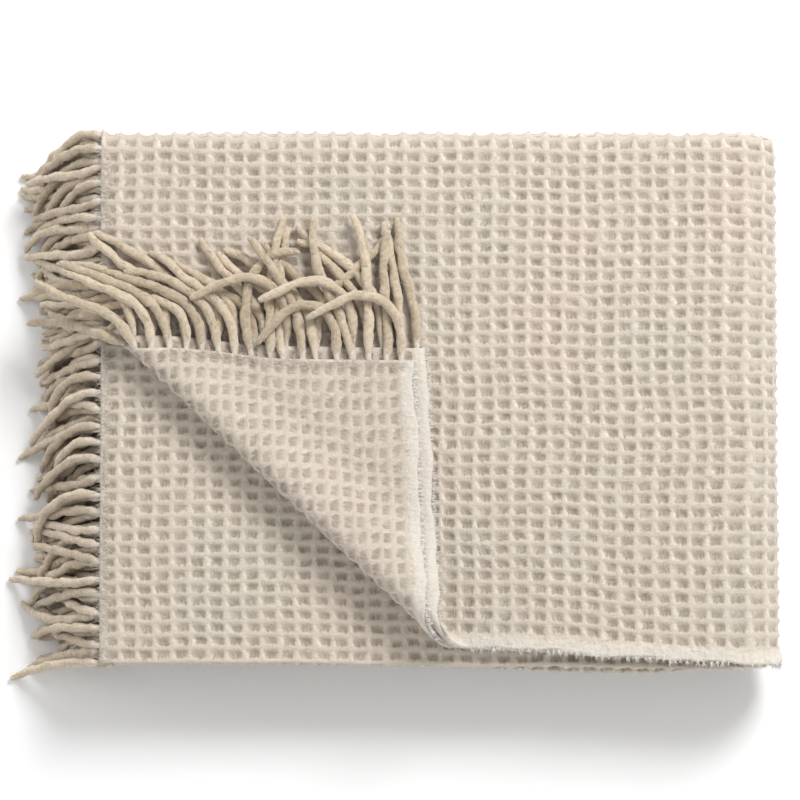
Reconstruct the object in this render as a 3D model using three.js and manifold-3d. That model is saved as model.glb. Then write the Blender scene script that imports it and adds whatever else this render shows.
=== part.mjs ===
import * as THREE from 'three';
import Module from 'manifold-3d';
import { mergeVertices } from 'three/addons/utils/BufferGeometryUtils.js';

// Fringed throw blanket, folded in quarters across its width and then in quarters along its length.
// Millimetres, +Z up. X runs along the cloth's length, Y across its width, and the fringe is at -X.
// The two upper layers of one corner are turned back, so their under side and their fringe show.

// Cloth
const clothThickness = 3.0;
const layerPitch = 3.7; // one layer to the next, in a bundle of four
const bundlePitch = 15.2; // one bundle of four layers to the next

// The folded panel, seen from above
const leftEdge = -205.5; // where both fringed ends lie
const rightEdge = 205.5; // the furthest reach of the thick fold
const backEdge = 163.5; // the furthest reach of the back fold
const selvedgeEdge = -150.5; // where both selvedges lie
const frontFoldEdge = -160.5; // the furthest reach of the front fold, a little past the selvedges
const underEndInset = 7; // the under fringed end lies further in than the upper one
const leftFoldInset = 9; // and so does the left fold

// The folds, as half turns. Swell makes a fold longer than it is high, as soft wool is.
const backFold = { radius: 1.5 * layerPitch, swell: 1.7 };
const smallFold = { radius: 0.5 * layerPitch, swell: 1.2 };
const thickFold = { radius: 1.5 * bundlePitch, swell: 1.15 };
const bundleFold = { radius: 0.5 * bundlePitch, swell: 1.0 };

// The turned corner
// The line where the cloth leaves the panel, from near the fringe to the selvedge. The roll there is
// half an ellipse, which reaches out past the line and rises above the panel.
const rollStart = { x: -183.3, y: 35, reach: 3.4, rise: 3.4 };
const rollEnd = { x: 18.3, y: -153.5, reach: 4.6, rise: 9.5 };
const leastRoll = 2;
const rollFlats = 7; // flat facets round the roll
const cornerReach = 290; // how far from the cloth's corner the turn may act
const flapShrink = { share: 0.03, to: -120, over: 60 }; // the loose flap draws together a little
const flapLean = 0.06; // and its rows lean down to the right
const flapSettle = { rises: 5.5, least: 6 }; // the way over which the flap comes down to rest
const restCuts = [0.35, 0.7, 1]; // where that way is bent
const endPull = { depth: 13, from: 100, to: 46, fade: 220 }; // the fringed end is drawn in by the turn

// Fringe
const strandPitch = 12;
const strandRadius = 2.1;
const strandRoot = 0.8; // radius inside the strip
const strandTip = 1.6;
const strandSides = 3;
const hangingLength = 62; // of a strand over the left edge
const turnedLength = 78; // of a strand on the panel
const strandSteps = 4;
const lengthScatter = 5;
const stripDepth = 6;
const stripThickness = 2.2;
const stripGap = 0.5; // between the cloth's edge and the strip
const strandSink = 2.5; // how far a strand's root runs into the strip
const partGap = 0.4; // between two strips of one end

// Colours, roughness
const wool = { color: 0xd2c8b8, roughness: 0.95, metalness: 0 };
const fringeWool = { color: 0xb0a28b, roughness: 0.95, metalness: 0 };

const wasm = await Module();
wasm.setup();

const clamp = (value, low, high) => Math.min(high, Math.max(low, value));
const mix = (a, b, t) => a + (b - a) * t;

function smooth(value, from, to) {
  const t = clamp((value - from) / (to - from), 0, 1);
  return t * t * (3 - 2 * t);
}

// An even spread of numbers from -1 to 1 that looks random and never changes
function scatter(index, salt) {
  const turn = Math.sin(index * 12.9898 + salt * 78.233) * 43758.5453;
  return 2 * (turn - Math.floor(turn)) - 1;
}

// A fold path is a row of straight runs and half turns in a plane. heading is +1 or -1 along the
// first axis, and spin is -1 for a clockwise turn and +1 for the other way.
function foldPath(rows, start) {
  let [u, v] = start;
  let heading = 1;
  let from = 0;
  return rows.map((row) => {
    const length = row.fold ? halfEllipse(row.fold.radius * row.fold.swell, row.fold.radius) : row.run;
    const piece = { ...row, u, v, heading, from, to: from + length };
    from += length;
    if (row.fold) {
      v += 2 * row.spin * heading * row.fold.radius;
      heading = -heading;
    } else {
      u += heading * row.run;
    }
    return piece;
  });
}

// Half the outline of an ellipse
function halfEllipse(a, b) {
  const h = ((a - b) / (a + b)) ** 2;
  return (Math.PI / 2) * (a + b) * (1 + (3 * h) / (10 + Math.sqrt(4 - 3 * h)));
}

// The place at a distance along a fold path, and off it to the left of the way it runs
function placeOn(path, distance, off) {
  const last = path[path.length - 1];
  const row = path.find((one) => distance <= one.to) ?? last;
  const along = distance - row.from;
  if (!row.fold) {
    return [row.u + row.heading * along, row.v + row.heading * off];
  }
  const angle = (Math.PI * along) / (row.to - row.from);
  const reach = row.fold.radius - row.spin * off;
  const middle = row.v + row.spin * row.heading * row.fold.radius;
  return [
    row.u + row.heading * row.fold.swell * reach * Math.sin(angle),
    middle - row.spin * row.heading * reach * Math.cos(angle),
  ];
}

// How far a fold of this size reaches past the end of the run before it
function reachOf(fold, halfBundle) {
  return fold.swell * (fold.radius + halfBundle + clothThickness / 2);
}

const backRun = backEdge - reachOf(backFold, 0);
const frontRun = frontFoldEdge + reachOf(smallFold, 0);
const rightRun = rightEdge - reachOf(thickFold, 1.5 * layerPitch);
const leftRun = leftEdge + leftFoldInset + reachOf(bundleFold, 1.5 * layerPitch);

// Where the top of the turned corner's roll crosses the fringed end, from the selvedge. The fringe
// beyond it lies on the panel, and the fringe before it hangs over the left edge.
const rollTop = 185;
const upperMarks = [60, 124, rollTop, 200, 213, 226, 239, 252, backRun - selvedgeEdge];
const secondMarks = upperMarks.map((mark, i) => upperMarks.at(-1) - (upperMarks.at(-2 - i) ?? 0));

// Across the width, from one selvedge to the other
const across = foldPath(
  [
    { name: 'upper layer', run: backRun - selvedgeEdge, marks: upperMarks },
    { name: 'back fold', fold: backFold, spin: -1, lines: 7 },
    { name: 'lowest layer', run: backRun - frontRun, lines: 4 },
    { name: 'front fold', fold: smallFold, spin: -1, lines: 5 },
    { name: 'third layer', run: backRun - frontRun, lines: 4 },
    { name: 'inner back fold', fold: smallFold, spin: 1, lines: 5 },
    { name: 'second layer', run: backRun - selvedgeEdge, marks: secondMarks },
  ],
  [selvedgeEdge, 1.5 * layerPitch],
);

// Along the length, from the upper fringed end to the under one
const along = foldPath(
  [
    { name: 'upper bundle', run: rightRun - leftEdge, lines: 8 },
    { name: 'thick right fold', fold: thickFold, spin: -1, lines: 8 },
    { name: 'lowest bundle', run: rightRun - leftRun, lines: 4 },
    { name: 'left fold', fold: bundleFold, spin: -1, lines: 6 },
    { name: 'third bundle', run: rightRun - leftRun, lines: 4 },
    { name: 'inner right fold', fold: bundleFold, spin: 1, lines: 6 },
    { name: 'second bundle', run: rightRun - leftEdge - underEndInset, lines: 4 },
  ],
  [leftEdge, 1.5 * bundlePitch],
);

const clothWidth = across[across.length - 1].to;
const clothLength = along[along.length - 1].to;
const upperLayer = 1.5 * bundlePitch + 1.5 * layerPitch; // middle of the top layer's thickness
const floorLevel = -upperLayer - clothThickness / 2;

// The line where the turned layers leave the panel, as a direction and a normal to the corner
const rollRun = Math.hypot(rollEnd.x - rollStart.x, rollEnd.y - rollStart.y);
const rollAlong = [(rollEnd.x - rollStart.x) / rollRun, (rollEnd.y - rollStart.y) / rollRun];
const rollOut = [rollAlong[1], -rollAlong[0]];

// A size of the roll at e along it, from its values at both ends
function betweenEnds(start, end, e) {
  return Math.max(mix(start, end, e / rollRun), leastRoll);
}

function riseAt(e) {
  return betweenEnds(rollStart.rise, rollEnd.rise, e);
}

// The cloth's way round the roll, for a layer whose middle lies drop under the top layer's
function rollWay(e, drop) {
  const ends = [rollStart, rollEnd].map(({ reach, rise }) => halfEllipse(reach + drop, rise + drop));
  return betweenEnds(ends[0], ends[1], e);
}

// The way over which the flap comes down beside a roll that rises so far
function restRun(rise) {
  return flapSettle.rises * rise + flapSettle.least;
}

function alongRoll(x, y) {
  return (x - rollStart.x) * rollAlong[0] + (y - rollStart.y) * rollAlong[1];
}

function pastRoll(x, y) {
  return (x - rollStart.x) * rollOut[0] + (y - rollStart.y) * rollOut[1];
}

// Lays a point of the two upper layers where the turned corner carries it. drop is how far the
// layer's middle lies under the top layer's, and lift how far the point is above that middle.
function turnCorner(x, y, drop, lift) {
  const e = alongRoll(x, y);
  const f = pastRoll(x, y);
  const reach = betweenEnds(rollStart.reach, rollEnd.reach, e) + drop - lift;
  const rise = riseAt(e);
  const way = rollWay(e, drop);
  const turned = clamp((Math.PI * f) / way, 0, Math.PI);
  const over = Math.max(0, f - way);
  const out = f <= 0 ? f : reach * Math.sin(turned) - over;
  const rest = (2 * rise - layerPitch) * smooth(over, 0, restRun(rise));
  const height = upperLayer + rise - (rise + drop - lift) * Math.cos(turned) - rest;
  const px = rollStart.x + e * rollAlong[0] + out * rollOut[0];
  const py = rollStart.y + e * rollAlong[1] + out * rollOut[1];
  const loose = smooth(over, 0, flapShrink.over);
  const drawn = flapShrink.share * (flapShrink.to - py) - flapLean * (px - rollStart.x);
  return [px, py + drawn * loose, height];
}

// The stack's soft unevenness: waves on its upper side, one row for each
const waves = [
  { depth: 0.5, wayX: 1, wayY: 0.35, length: 260, shift: 0.8 },
  { depth: 0.4, wayX: -0.4, wayY: 1, length: 290, shift: 2.1 },
  { depth: 0.3, wayX: 0.7, wayY: -0.7, length: 210, shift: 0.3 },
];

// How far the unevenness lifts a point, nothing at the flat under side
function unevenness(x, y, z) {
  const height = clamp((z - floorLevel) / (upperLayer - floorLevel), 0, 1);
  const lift = ({ depth, wayX, wayY, length, shift }) =>
    depth * Math.sin((2 * Math.PI * (wayX * x + wayY * y)) / length + shift);
  return height * height * waves.reduce((sum, wave) => sum + lift(wave), 0);
}

// How the front edges run: the whole stack slopes forward to the right, the two selvedges first lie
// back and then slope more, and the lower bundles stand proud up to a kink. All fades out over reach.
const frontSlope = { depth: 3.7, reach: 120 };
const frontBow = { depth: 2.6, from: -20, to: 100, kink: 128, end: 152 };
const lowerBundles = { from: 0.85, to: 1.15 }; // of a bundle's pitch, above the stack's middle
const selvedgeBack = { depth: 3.2, from: 100, to: 225 };
const selvedgeSlope = { depth: 8, from: 225, to: 400 };
const selvedgeFade = { from: 500, to: 700 };
const selvedgeLayers = 0.4; // of a layer's pitch, on either side of the bundle's middle

// How much of a shift of the front edge a point at y takes part in
function nearFront(y) {
  return 1 - smooth(y, frontFoldEdge, frontFoldEdge + frontSlope.reach);
}

// How far the selvedge's two layers lie forward at s along the length, round the thick fold and on
function selvedgeForward(s, y, h) {
  const back = selvedgeBack.depth * smooth(s, selvedgeBack.from, selvedgeBack.to);
  const slope = selvedgeSlope.depth * smooth(s, selvedgeSlope.from, selvedgeSlope.to);
  const fade = 1 - smooth(s, selvedgeFade.from, selvedgeFade.to);
  const isUpper = smooth(h, -selvedgeLayers * layerPitch, selvedgeLayers * layerPitch);
  return (slope - back) * fade * isUpper * nearFront(y);
}

// The folded stack is a little uneven
function settle([x, y, z]) {
  const slope = frontSlope.depth * smooth(x, leftEdge, rightEdge);
  const isLower = 1 - smooth(z, lowerBundles.from * bundlePitch, lowerBundles.to * bundlePitch);
  const bow = frontBow.depth * smooth(x, frontBow.from, frontBow.to) * isLower;
  const kink = 1 - smooth(x, frontBow.kink, frontBow.end);
  return [x, y - (slope + bow * kink) * nearFront(y), z + unevenness(x, y, z)];
}

// Where the cloth's point at s along the length and w across the width lies, off its middle
function clothPoint(s, w, off) {
  const [y, h] = placeOn(across, w, off);
  const nearEnd = s < cornerReach;
  const upper = w < cornerReach;
  const second = w > clothWidth - cornerReach;
  if (nearEnd && (upper || second)) {
    const pull = endPull.depth * (1 - smooth(y, endPull.to, endPull.from));
    const x = leftEdge + s + pull * (1 - Math.min(1, s / endPull.fade));
    const drop = upper ? 0 : layerPitch;
    const lift = upper ? off : -off;
    const [turnedX, turnedY, turnedZ] = turnCorner(x, y, drop, lift);
    return settle([turnedX, turnedY - selvedgeForward(s, y, h), turnedZ]);
  }
  const [x, z] = placeOn(along, s, h);
  return settle([x, y - selvedgeForward(s, y, h), z]);
}

// The lines of a fold path: at a row's marks, or as many even steps as it gives
function linesOf(path) {
  const lines = [0];
  for (const row of path) {
    const step = (row.to - row.from) / row.lines;
    const marks = row.marks ?? Array.from({ length: row.lines }, (_, i) => (i + 1) * step);
    marks.forEach((mark) => lines.push(row.from + mark));
  }
  return lines;
}

// The cuts that let the turned corner bend: straight lines in the cloth, each given by two points
// [s, w], at equal angles round the roll and where the flap comes down to rest
function cornerCuts() {
  const cuts = [];
  const tips = [0, rollRun];
  for (const drop of [0, layerPitch]) {
    const shares = [];
    for (let flat = 0; flat <= rollFlats; flat++) {
      shares.push({ turn: flat / rollFlats, rest: 0 });
    }
    restCuts.forEach((rest) => shares.push({ turn: 1, rest }));
    for (const { turn, rest } of shares) {
      const ends = tips.map((e) => {
        const f = turn * rollWay(e, drop) + rest * restRun(riseAt(e));
        const x = rollStart.x + e * rollAlong[0] + f * rollOut[0];
        const w = rollStart.y + e * rollAlong[1] + f * rollOut[1] - selvedgeEdge;
        const s = (x - leftEdge - endPull.depth) / (1 - endPull.depth / endPull.fade);
        return [s, drop > 0 ? clothWidth - w : w];
      });
      cuts.push(ends);
    }
  }
  return cuts;
}

// Splits a convex outline by the line through two points
function splitOutline(outline, [a, b]) {
  const side = ([s, w]) => (b[0] - a[0]) * (w - a[1]) - (b[1] - a[1]) * (s - a[0]);
  const scale = Math.hypot(b[0] - a[0], b[1] - a[1]);
  const halves = [[], []];
  outline.forEach((point, i) => {
    const next = outline[(i + 1) % outline.length];
    const here = side(point) / scale;
    const there = side(next) / scale;
    if (here >= 0) halves[0].push(point);
    if (here <= 0) halves[1].push(point);
    if (here * there < 0) {
      const t = here / (here - there);
      const cut = [mix(point[0], next[0], t), mix(point[1], next[1], t)];
      halves[0].push(cut);
      halves[1].push(cut);
    }
  });
  return halves.filter((half) => half.length > 2);
}

// A closed sheet of cloth over the lines given, with the corner's cuts
function sheet(sLines, wLines, thickness) {
  const cuts = cornerCuts();
  const ids = new Map();
  const points = [];
  const idOf = (point) => {
    const key = point.map((value) => value.toFixed(3)).join(' ');
    if (!ids.has(key)) {
      ids.set(key, points.length);
      points.push(point);
    }
    return ids.get(key);
  };
  const triangles = [];
  for (let i = 0; i + 1 < sLines.length; i++) {
    for (let j = 0; j + 1 < wLines.length; j++) {
      let pieces = [[
        [sLines[i], wLines[j]],
        [sLines[i + 1], wLines[j]],
        [sLines[i + 1], wLines[j + 1]],
        [sLines[i], wLines[j + 1]],
      ]];
      for (const cut of cuts) {
        pieces = pieces.flatMap((piece) => splitOutline(piece, cut));
      }
      for (const piece of pieces) {
        const corners = [...new Set(piece.map(idOf))];
        for (let k = 1; k + 1 < corners.length; k++) {
          triangles.push([corners[0], corners[k], corners[k + 1]]);
        }
      }
    }
  }
  return closeSheet(points, triangles, thickness);
}

// Gives a sheet's triangles two faces, and walls along its edges
function closeSheet(points, triangles, thickness) {
  const count = points.length;
  const positions = [];
  for (const off of [thickness / 2, -thickness / 2]) {
    points.forEach(([s, w]) => positions.push(...clothPoint(s, w, off)));
  }
  const index = [];
  const open = new Map();
  for (const [a, b, c] of triangles) {
    index.push(a, b, c, a + count, c + count, b + count);
    for (const [from, to] of [[a, b], [b, c], [c, a]]) {
      if (!open.delete(`${to} ${from}`)) open.set(`${from} ${to}`, [from, to]);
    }
  }
  for (const [from, to] of open.values()) {
    index.push(from, from + count, to + count, from, to + count, to);
  }
  const geometry = new THREE.BufferGeometry();
  geometry.setAttribute('position', new THREE.Float32BufferAttribute(positions, 3));
  geometry.setIndex(index);
  return geometry;
}

// The way a strand lies: it leaves the strip along the cloth, and comes to rest where lay puts it
const stepBack = 2; // from a strand's root into the cloth, to find the way it leaves
function strandRoute(s, w, outward, lay, length) {
  const root = new THREE.Vector3(...clothPoint(s, w, 0));
  const behind = new THREE.Vector3(...clothPoint(s - outward * stepBack, w, 0));
  const way = root.clone().sub(behind).normalize();
  const start = root.clone().addScaledVector(way, stripDepth / 2);
  const points = [start.clone().addScaledVector(way, -strandSink)];
  for (let step = 1; step <= strandSteps; step++) {
    points.push(lay(start, way, step / strandSteps, length));
  }
  return points;
}

// A strand as a tapered prism along its route, with a flat side underneath
const taperFrom = 0.3; // the share of a strand where it starts to thin
function strandSolid(points) {
  const positions = [];
  const index = [];
  const up = new THREE.Vector3(0, 0, 1);
  points.forEach((point, step) => {
    const before = points[Math.max(0, step - 1)];
    const after = points[Math.min(points.length - 1, step + 1)];
    const way = after.clone().sub(before).normalize();
    const side = way.clone().cross(up).normalize();
    const over = side.clone().cross(way).normalize();
    const share = step / strandSteps;
    const grown = step === 0 ? strandRoot : mix(strandRadius, strandTip, smooth(share, taperFrom, 1));
    for (let k = 0; k < strandSides; k++) {
      const angle = Math.PI / 2 + (2 * Math.PI * k) / strandSides;
      const corner = point.clone()
        .addScaledVector(side, grown * Math.cos(angle))
        .addScaledVector(over, grown * Math.sin(angle));
      positions.push(corner.x, corner.y, corner.z);
    }
  });
  const rings = points.length;
  for (let ring = 0; ring + 1 < rings; ring++) {
    for (let k = 0; k < strandSides; k++) {
      const a = ring * strandSides + k;
      const b = ring * strandSides + ((k + 1) % strandSides);
      index.push(a, b + strandSides, b, a, a + strandSides, b + strandSides);
    }
  }
  const tip = (rings - 1) * strandSides;
  index.push(0, 1, 2, tip, tip + 2, tip + 1);
  const geometry = new THREE.BufferGeometry();
  geometry.setAttribute('position', new THREE.Float32BufferAttribute(positions, 3));
  geometry.setIndex(index);
  return geometry;
}

function toSolid(geometry) {
  const merged = mergeVertices(geometry, 1e-4);
  return new wasm.Manifold(
    new wasm.Mesh({
      numProp: 3,
      vertProperties: Float32Array.from(merged.attributes.position.array),
      triVerts: Uint32Array.from(merged.index.array),
    }),
  );
}

function toGeometry(solid) {
  const { vertProperties, triVerts } = solid.getMesh();
  const geometry = new THREE.BufferGeometry();
  geometry.setAttribute('position', new THREE.BufferAttribute(vertProperties, 3));
  geometry.setIndex(new THREE.BufferAttribute(triVerts, 1));
  return geometry;
}

// Over the left edge the strands hang past the folds below and lie in levels, the lowest on the
// floor. A strand of a higher layer starts to fall further out, and falls over a longer way.
const levelPitch = 2.1; // between the levels of two neighbouring layers where the strands rest
const restHeight = strandRadius / 2 + 0.05; // a strand's middle when it lies on the floor
const fall = { startPerRank: 0.8, width: 33, widthPerRank: 0.9 };
const walkStep = 0.5;
const edgeDrift = { depth: 3.5, wave: 38, turn: 2.1, perRank: 0.1, own: 0.6 };

function heightPastEdge(out, rank, startHeight) {
  const start = fall.startPerRank * rank;
  const share = smooth(out, start, start + fall.width + fall.widthPerRank * rank);
  return mix(startHeight, restHeight + rank * levelPitch, share);
}

// How far out and how high a strand is, after a distance along it from the edge
function walkPastEdge(distance, rank, startHeight) {
  let out = 0;
  let height = startHeight;
  for (let gone = 0; gone < distance;) {
    const next = heightPastEdge(out + walkStep, rank, startHeight);
    gone += Math.hypot(walkStep, next - height);
    out += walkStep;
    height = next;
  }
  return { out, height };
}

function layOverEdge(rank, index) {
  return (start, way, share, length) => {
    const inside = Math.max(0, start.x - (leftEdge - stripGap - stripDepth));
    const distance = share * length;
    const fallen = walkPastEdge(Math.max(0, distance - inside), rank, start.z - floorLevel);
    const swing = start.y / edgeDrift.wave + edgeDrift.turn * share + edgeDrift.perRank * rank;
    const drift = edgeDrift.depth * Math.sin(swing);
    const own = edgeDrift.own * scatter(index, rank);
    return new THREE.Vector3(
      start.x - Math.min(inside, distance) - fallen.out,
      start.y + (drift + own) * share,
      floorLevel + fallen.height,
    );
  };
}

// On top of the panel the turned corner's strands lie on the upper layer, one row over the other.
// They lean to the left more the nearer they are to the roll, and come down past the left edge.
const rowPitch = 4.6;
const topClearance = 0.8;
const topLean = { far: 0.12, near: 0.82, from: -195, to: -60, sway: 0.08, wave: 145 };
const leanOwn = 0.03;
// For strands that leave the roll itself, by how far they face to the left where they start
const rollLean = { least: 0.9, more: 0.25, facesFrom: 0.2, facesTo: 1.2 };
const rollArch = { height: 14, upTo: 0.3, downTo: 0.8 };
const comeDown = 0.45; // share of a strand over which it comes down to the panel
const overhang = { from: 18, to: 74, drop: 30 };

function layOnTop(row, index) {
  const top = upperLayer + clothThickness / 2 + restHeight + topClearance + row * rowPitch;
  return (start, way, share, length) => {
    const distance = share * length;
    const near = 1 - smooth(start.x, topLean.from, topLean.to);
    const sway = topLean.sway * Math.sin((2 * Math.PI * start.x) / topLean.wave + row);
    const onRoll = smooth(Math.atan2(-way.x, way.y), rollLean.facesFrom, rollLean.facesTo);
    const rollTurn = rollLean.least + rollLean.more * onRoll;
    const turn = mix(mix(topLean.far, topLean.near, near) + sway, rollTurn, onRoll);
    const own = turn + leanOwn * scatter(index, row);
    const x = start.x - distance * Math.sin(own);
    const y = start.y + distance * Math.cos(own);
    const arch = smooth(share, 0, rollArch.upTo) * (1 - smooth(share, rollArch.upTo, rollArch.downTo));
    const rise = Math.max(0, way.z) * rollArch.height * arch;
    const down = smooth(share, 0, comeDown);
    const droop = overhang.drop * smooth(leftEdge - x, overhang.from, overhang.to);
    return new THREE.Vector3(x, y, mix(start.z, top + unevenness(x, y, top), down) + rise - droop);
  };
}

// How high each row of the fold path across lies among the eight fringed layers, 0 for the lowest
const upperRanks = [7, 5.5, 4, 4.5, 5, 5.5, 6];
const underRanks = [0, 1.5, 3, 2.5, 2, 1.5, 1];

// Two strands stand on the back fold, as shares of the way round it
const onBackFold = { upper: [0.1, 0.8], under: [0.1, 0.6] };
const firstStrand = 6; // from the front fold to the first strand

// Where a fringed end's strands stand: in each layer a pitch apart, and half a pitch aside of the
// layer beneath, with two more on the back fold
function strandPlaces(end) {
  const ranks = end === 'upper' ? upperRanks : underRanks;
  const places = [];
  across.forEach((row, layer) => {
    const rank = ranks[layer];
    if (row.fold) {
      if (row.name !== 'back fold') return;
      const [first, second] = onBackFold[end];
      places.push({ w: mix(row.from, row.to, first), rank: ranks[layer - 1] });
      places.push({ w: mix(row.from, row.to, second), rank: ranks[layer + 1] });
      return;
    }
    const aside = rank % 2 === 0 ? 0 : strandPitch / 2;
    const first = frontFoldEdge + firstStrand + aside;
    for (let y = first; y < backRun; y += strandPitch) {
      const w = row.from + (y - row.u) * row.heading;
      if (w > row.from + strandRadius && w < row.to - strandRadius) places.push({ w, rank });
    }
  });
  return places;
}

// Part of a fringed end, from one width to another: its strip and its strands
function fringe(end, from, to, row) {
  const outward = end === 'upper' ? -1 : 1;
  const edge = end === 'upper' ? 0 : clothLength;
  const near = edge + outward * stripGap;
  const far = edge + outward * (stripGap + stripDepth);
  const wLines = [from, ...linesOf(across).filter((w) => w > from + 1 && w < to - 1), to];
  let solid = toSolid(sheet([near, far].sort((a, b) => a - b), wLines, stripThickness));
  strandPlaces(end).forEach(({ w, rank }, index) => {
    if (w < from + strandRadius || w > to - strandRadius) return;
    const lay = row === undefined ? layOverEdge(rank, index) : layOnTop(row, index);
    const length = (row === undefined ? hangingLength : turnedLength) + lengthScatter * scatter(index, 3);
    const route = strandRoute((near + far) / 2, w, outward, lay, length);
    solid = solid.add(toSolid(strandSolid(route)));
  });
  return toGeometry(solid);
}

function named(name, geometry, finish) {
  const mesh = new THREE.Mesh(geometry, new THREE.MeshStandardMaterial(finish));
  mesh.name = name;
  return mesh;
}

const throwBlanket = new THREE.Group();
throwBlanket.add(
  named('throw_cloth', sheet(linesOf(along), linesOf(across), clothThickness), wool),
  named('fringe_upper_end', fringe('upper', rollTop, clothWidth - rollTop), fringeWool),
  named('fringe_turned_row', fringe('upper', 0, rollTop - partGap, 0), fringeWool),
  named('fringe_turned_top_row', fringe('upper', clothWidth - rollTop + partGap, clothWidth, 1), fringeWool),
  named('fringe_under_end', fringe('under', 0, clothWidth), fringeWool),
);

const box = new THREE.Box3().setFromObject(throwBlanket);
const middle = box.getCenter(new THREE.Vector3());
throwBlanket.position.set(-middle.x, -middle.y, -box.min.z);

export default throwBlanket;
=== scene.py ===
# %% [markdown]
# # A fringed wool throw, folded flat
#
# The real thing is a thick waffle-weave throw of about 130 by 180 cm. It lies folded in quarters
# across its width and then in quarters along its length, with the fringed ends at the left. The
# corner of the two upper layers is turned back, so the cloth's under side and its fringe show.
#
# The CAD frame holds one smooth sheet and four rows of plain strands. This script keeps their
# folds and gives them what a close look shows: the raised weave, the tufted selvedge and the
# felted yarn of the fringe. Lengths are millimetres, and mesh_object turns them to metres.

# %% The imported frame
import math

import bpy
import numpy as np
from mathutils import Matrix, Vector


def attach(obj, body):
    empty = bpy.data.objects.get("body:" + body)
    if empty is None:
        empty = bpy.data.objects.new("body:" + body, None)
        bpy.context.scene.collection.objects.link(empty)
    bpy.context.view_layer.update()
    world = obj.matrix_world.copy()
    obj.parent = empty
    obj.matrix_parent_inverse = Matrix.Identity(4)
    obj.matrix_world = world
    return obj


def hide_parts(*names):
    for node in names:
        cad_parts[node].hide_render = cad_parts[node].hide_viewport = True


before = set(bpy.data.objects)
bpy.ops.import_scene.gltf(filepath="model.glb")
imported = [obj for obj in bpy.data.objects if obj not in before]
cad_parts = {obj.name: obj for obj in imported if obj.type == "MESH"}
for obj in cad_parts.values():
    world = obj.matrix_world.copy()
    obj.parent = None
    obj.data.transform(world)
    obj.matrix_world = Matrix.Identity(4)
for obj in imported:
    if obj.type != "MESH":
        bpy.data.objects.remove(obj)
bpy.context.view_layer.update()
print("nodes", sorted(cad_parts))

# %% [markdown]
# ## The folds of the cloth
#
# The folds are the ones of the CAD frame, so their sizes are repeated here under the same names.
# One way to fold a sheet in Blender is to simulate it, but sixteen thin layers would take minutes
# and creep through each other. A formula is exact instead: the cloth runs along a path of straight
# runs and half turns, first across its width and then along its length. The folds across join the
# four layers of a bundle, and those along join the four bundles of the stack.

# %% Sizes
MM = 0.001
CLOTH_THICKNESS = 3.0
HALF = CLOTH_THICKNESS / 2
LAYER_PITCH = 3.7
BUNDLE_PITCH = 15.2
HALF_BUNDLE = 1.5 * LAYER_PITCH
HALF_STACK = 1.5 * BUNDLE_PITCH
UPPER_LAYER = HALF_STACK + HALF_BUNDLE
FLOOR = -UPPER_LAYER - HALF
LEFT_EDGE, RIGHT_EDGE = -205.5, 205.5
BACK_EDGE, SELVEDGE_EDGE, FRONT_FOLD_EDGE = 163.5, -150.5, -160.5
UNDER_END_INSET = 7.0
LEFT_FOLD_INSET = 9.0
# radius, and how many times wider than high
BACK_FOLD = (HALF_BUNDLE, 1.7)
SMALL_FOLD = (0.5 * LAYER_PITCH, 1.2)
THICK_FOLD = (HALF_STACK, 1.15)
BUNDLE_FOLD = (0.5 * BUNDLE_PITCH, 1.0)


def reach_of(fold, half_bundle):
    """How far a fold's outer face lies past the end of its runs."""
    radius, swell = fold
    return swell * (radius + half_bundle + HALF)


BACK_RUN = BACK_EDGE - reach_of(BACK_FOLD, 0)
FRONT_RUN = FRONT_FOLD_EDGE + reach_of(SMALL_FOLD, 0)
RIGHT_RUN = RIGHT_EDGE - reach_of(THICK_FOLD, HALF_BUNDLE)
LEFT_RUN = LEFT_EDGE + LEFT_FOLD_INSET + reach_of(BUNDLE_FOLD, HALF_BUNDLE)
print("stack", round(UPPER_LAYER + HALF - FLOOR, 1), "mm high")

# %% Paths of runs and half turns


def half_turn(a, b):
    """Half the outline of an ellipse."""
    h = ((a - b) / (a + b)) ** 2
    return math.pi / 2 * (a + b) * (1 + 3 * h / (10 + math.sqrt(4 - 3 * h)))


def fold_path(start, runs, folds):
    """Pieces of a path: straight runs, with a fold and its spin after each but the last."""
    u, v = start
    heading, at, path = 1, 0.0, []
    for run, fold in zip(runs, folds + [None]):
        path.append({"u": u, "v": v, "heading": heading, "from": at, "to": at + run})
        u += heading * run
        at += run
        if fold:
            (radius, swell), spin = fold
            turn = half_turn(radius * swell, radius)
            path.append({"u": u, "v": v, "heading": heading, "from": at, "to": at + turn,
                         "radius": radius, "swell": swell, "spin": spin})
            v += 2 * spin * heading * radius
            heading = -heading
            at += turn
    return path


def place_on(path, distance, off):
    """The place at a distance along the path, and off it to the left of the way it runs."""
    distance, off = np.broadcast_arrays(distance, off)
    u, v = np.zeros(distance.shape), np.zeros(distance.shape)
    for piece in path:
        here = (distance > piece["from"]) | (piece is path[0])
        here = here & ((distance <= piece["to"]) | (piece is path[-1]))
        along = distance - piece["from"]
        if "spin" not in piece:
            u = np.where(here, piece["u"] + piece["heading"] * along, u)
            v = np.where(here, piece["v"] + piece["heading"] * off, v)
            continue
        spin, heading, radius = piece["spin"], piece["heading"], piece["radius"]
        angle = math.pi * along / (piece["to"] - piece["from"])
        reach = radius - spin * off
        middle = piece["v"] + spin * heading * radius
        u = np.where(here, piece["u"] + heading * piece["swell"] * reach * np.sin(angle), u)
        v = np.where(here, middle - spin * heading * reach * np.cos(angle), v)
    return u, v


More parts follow.
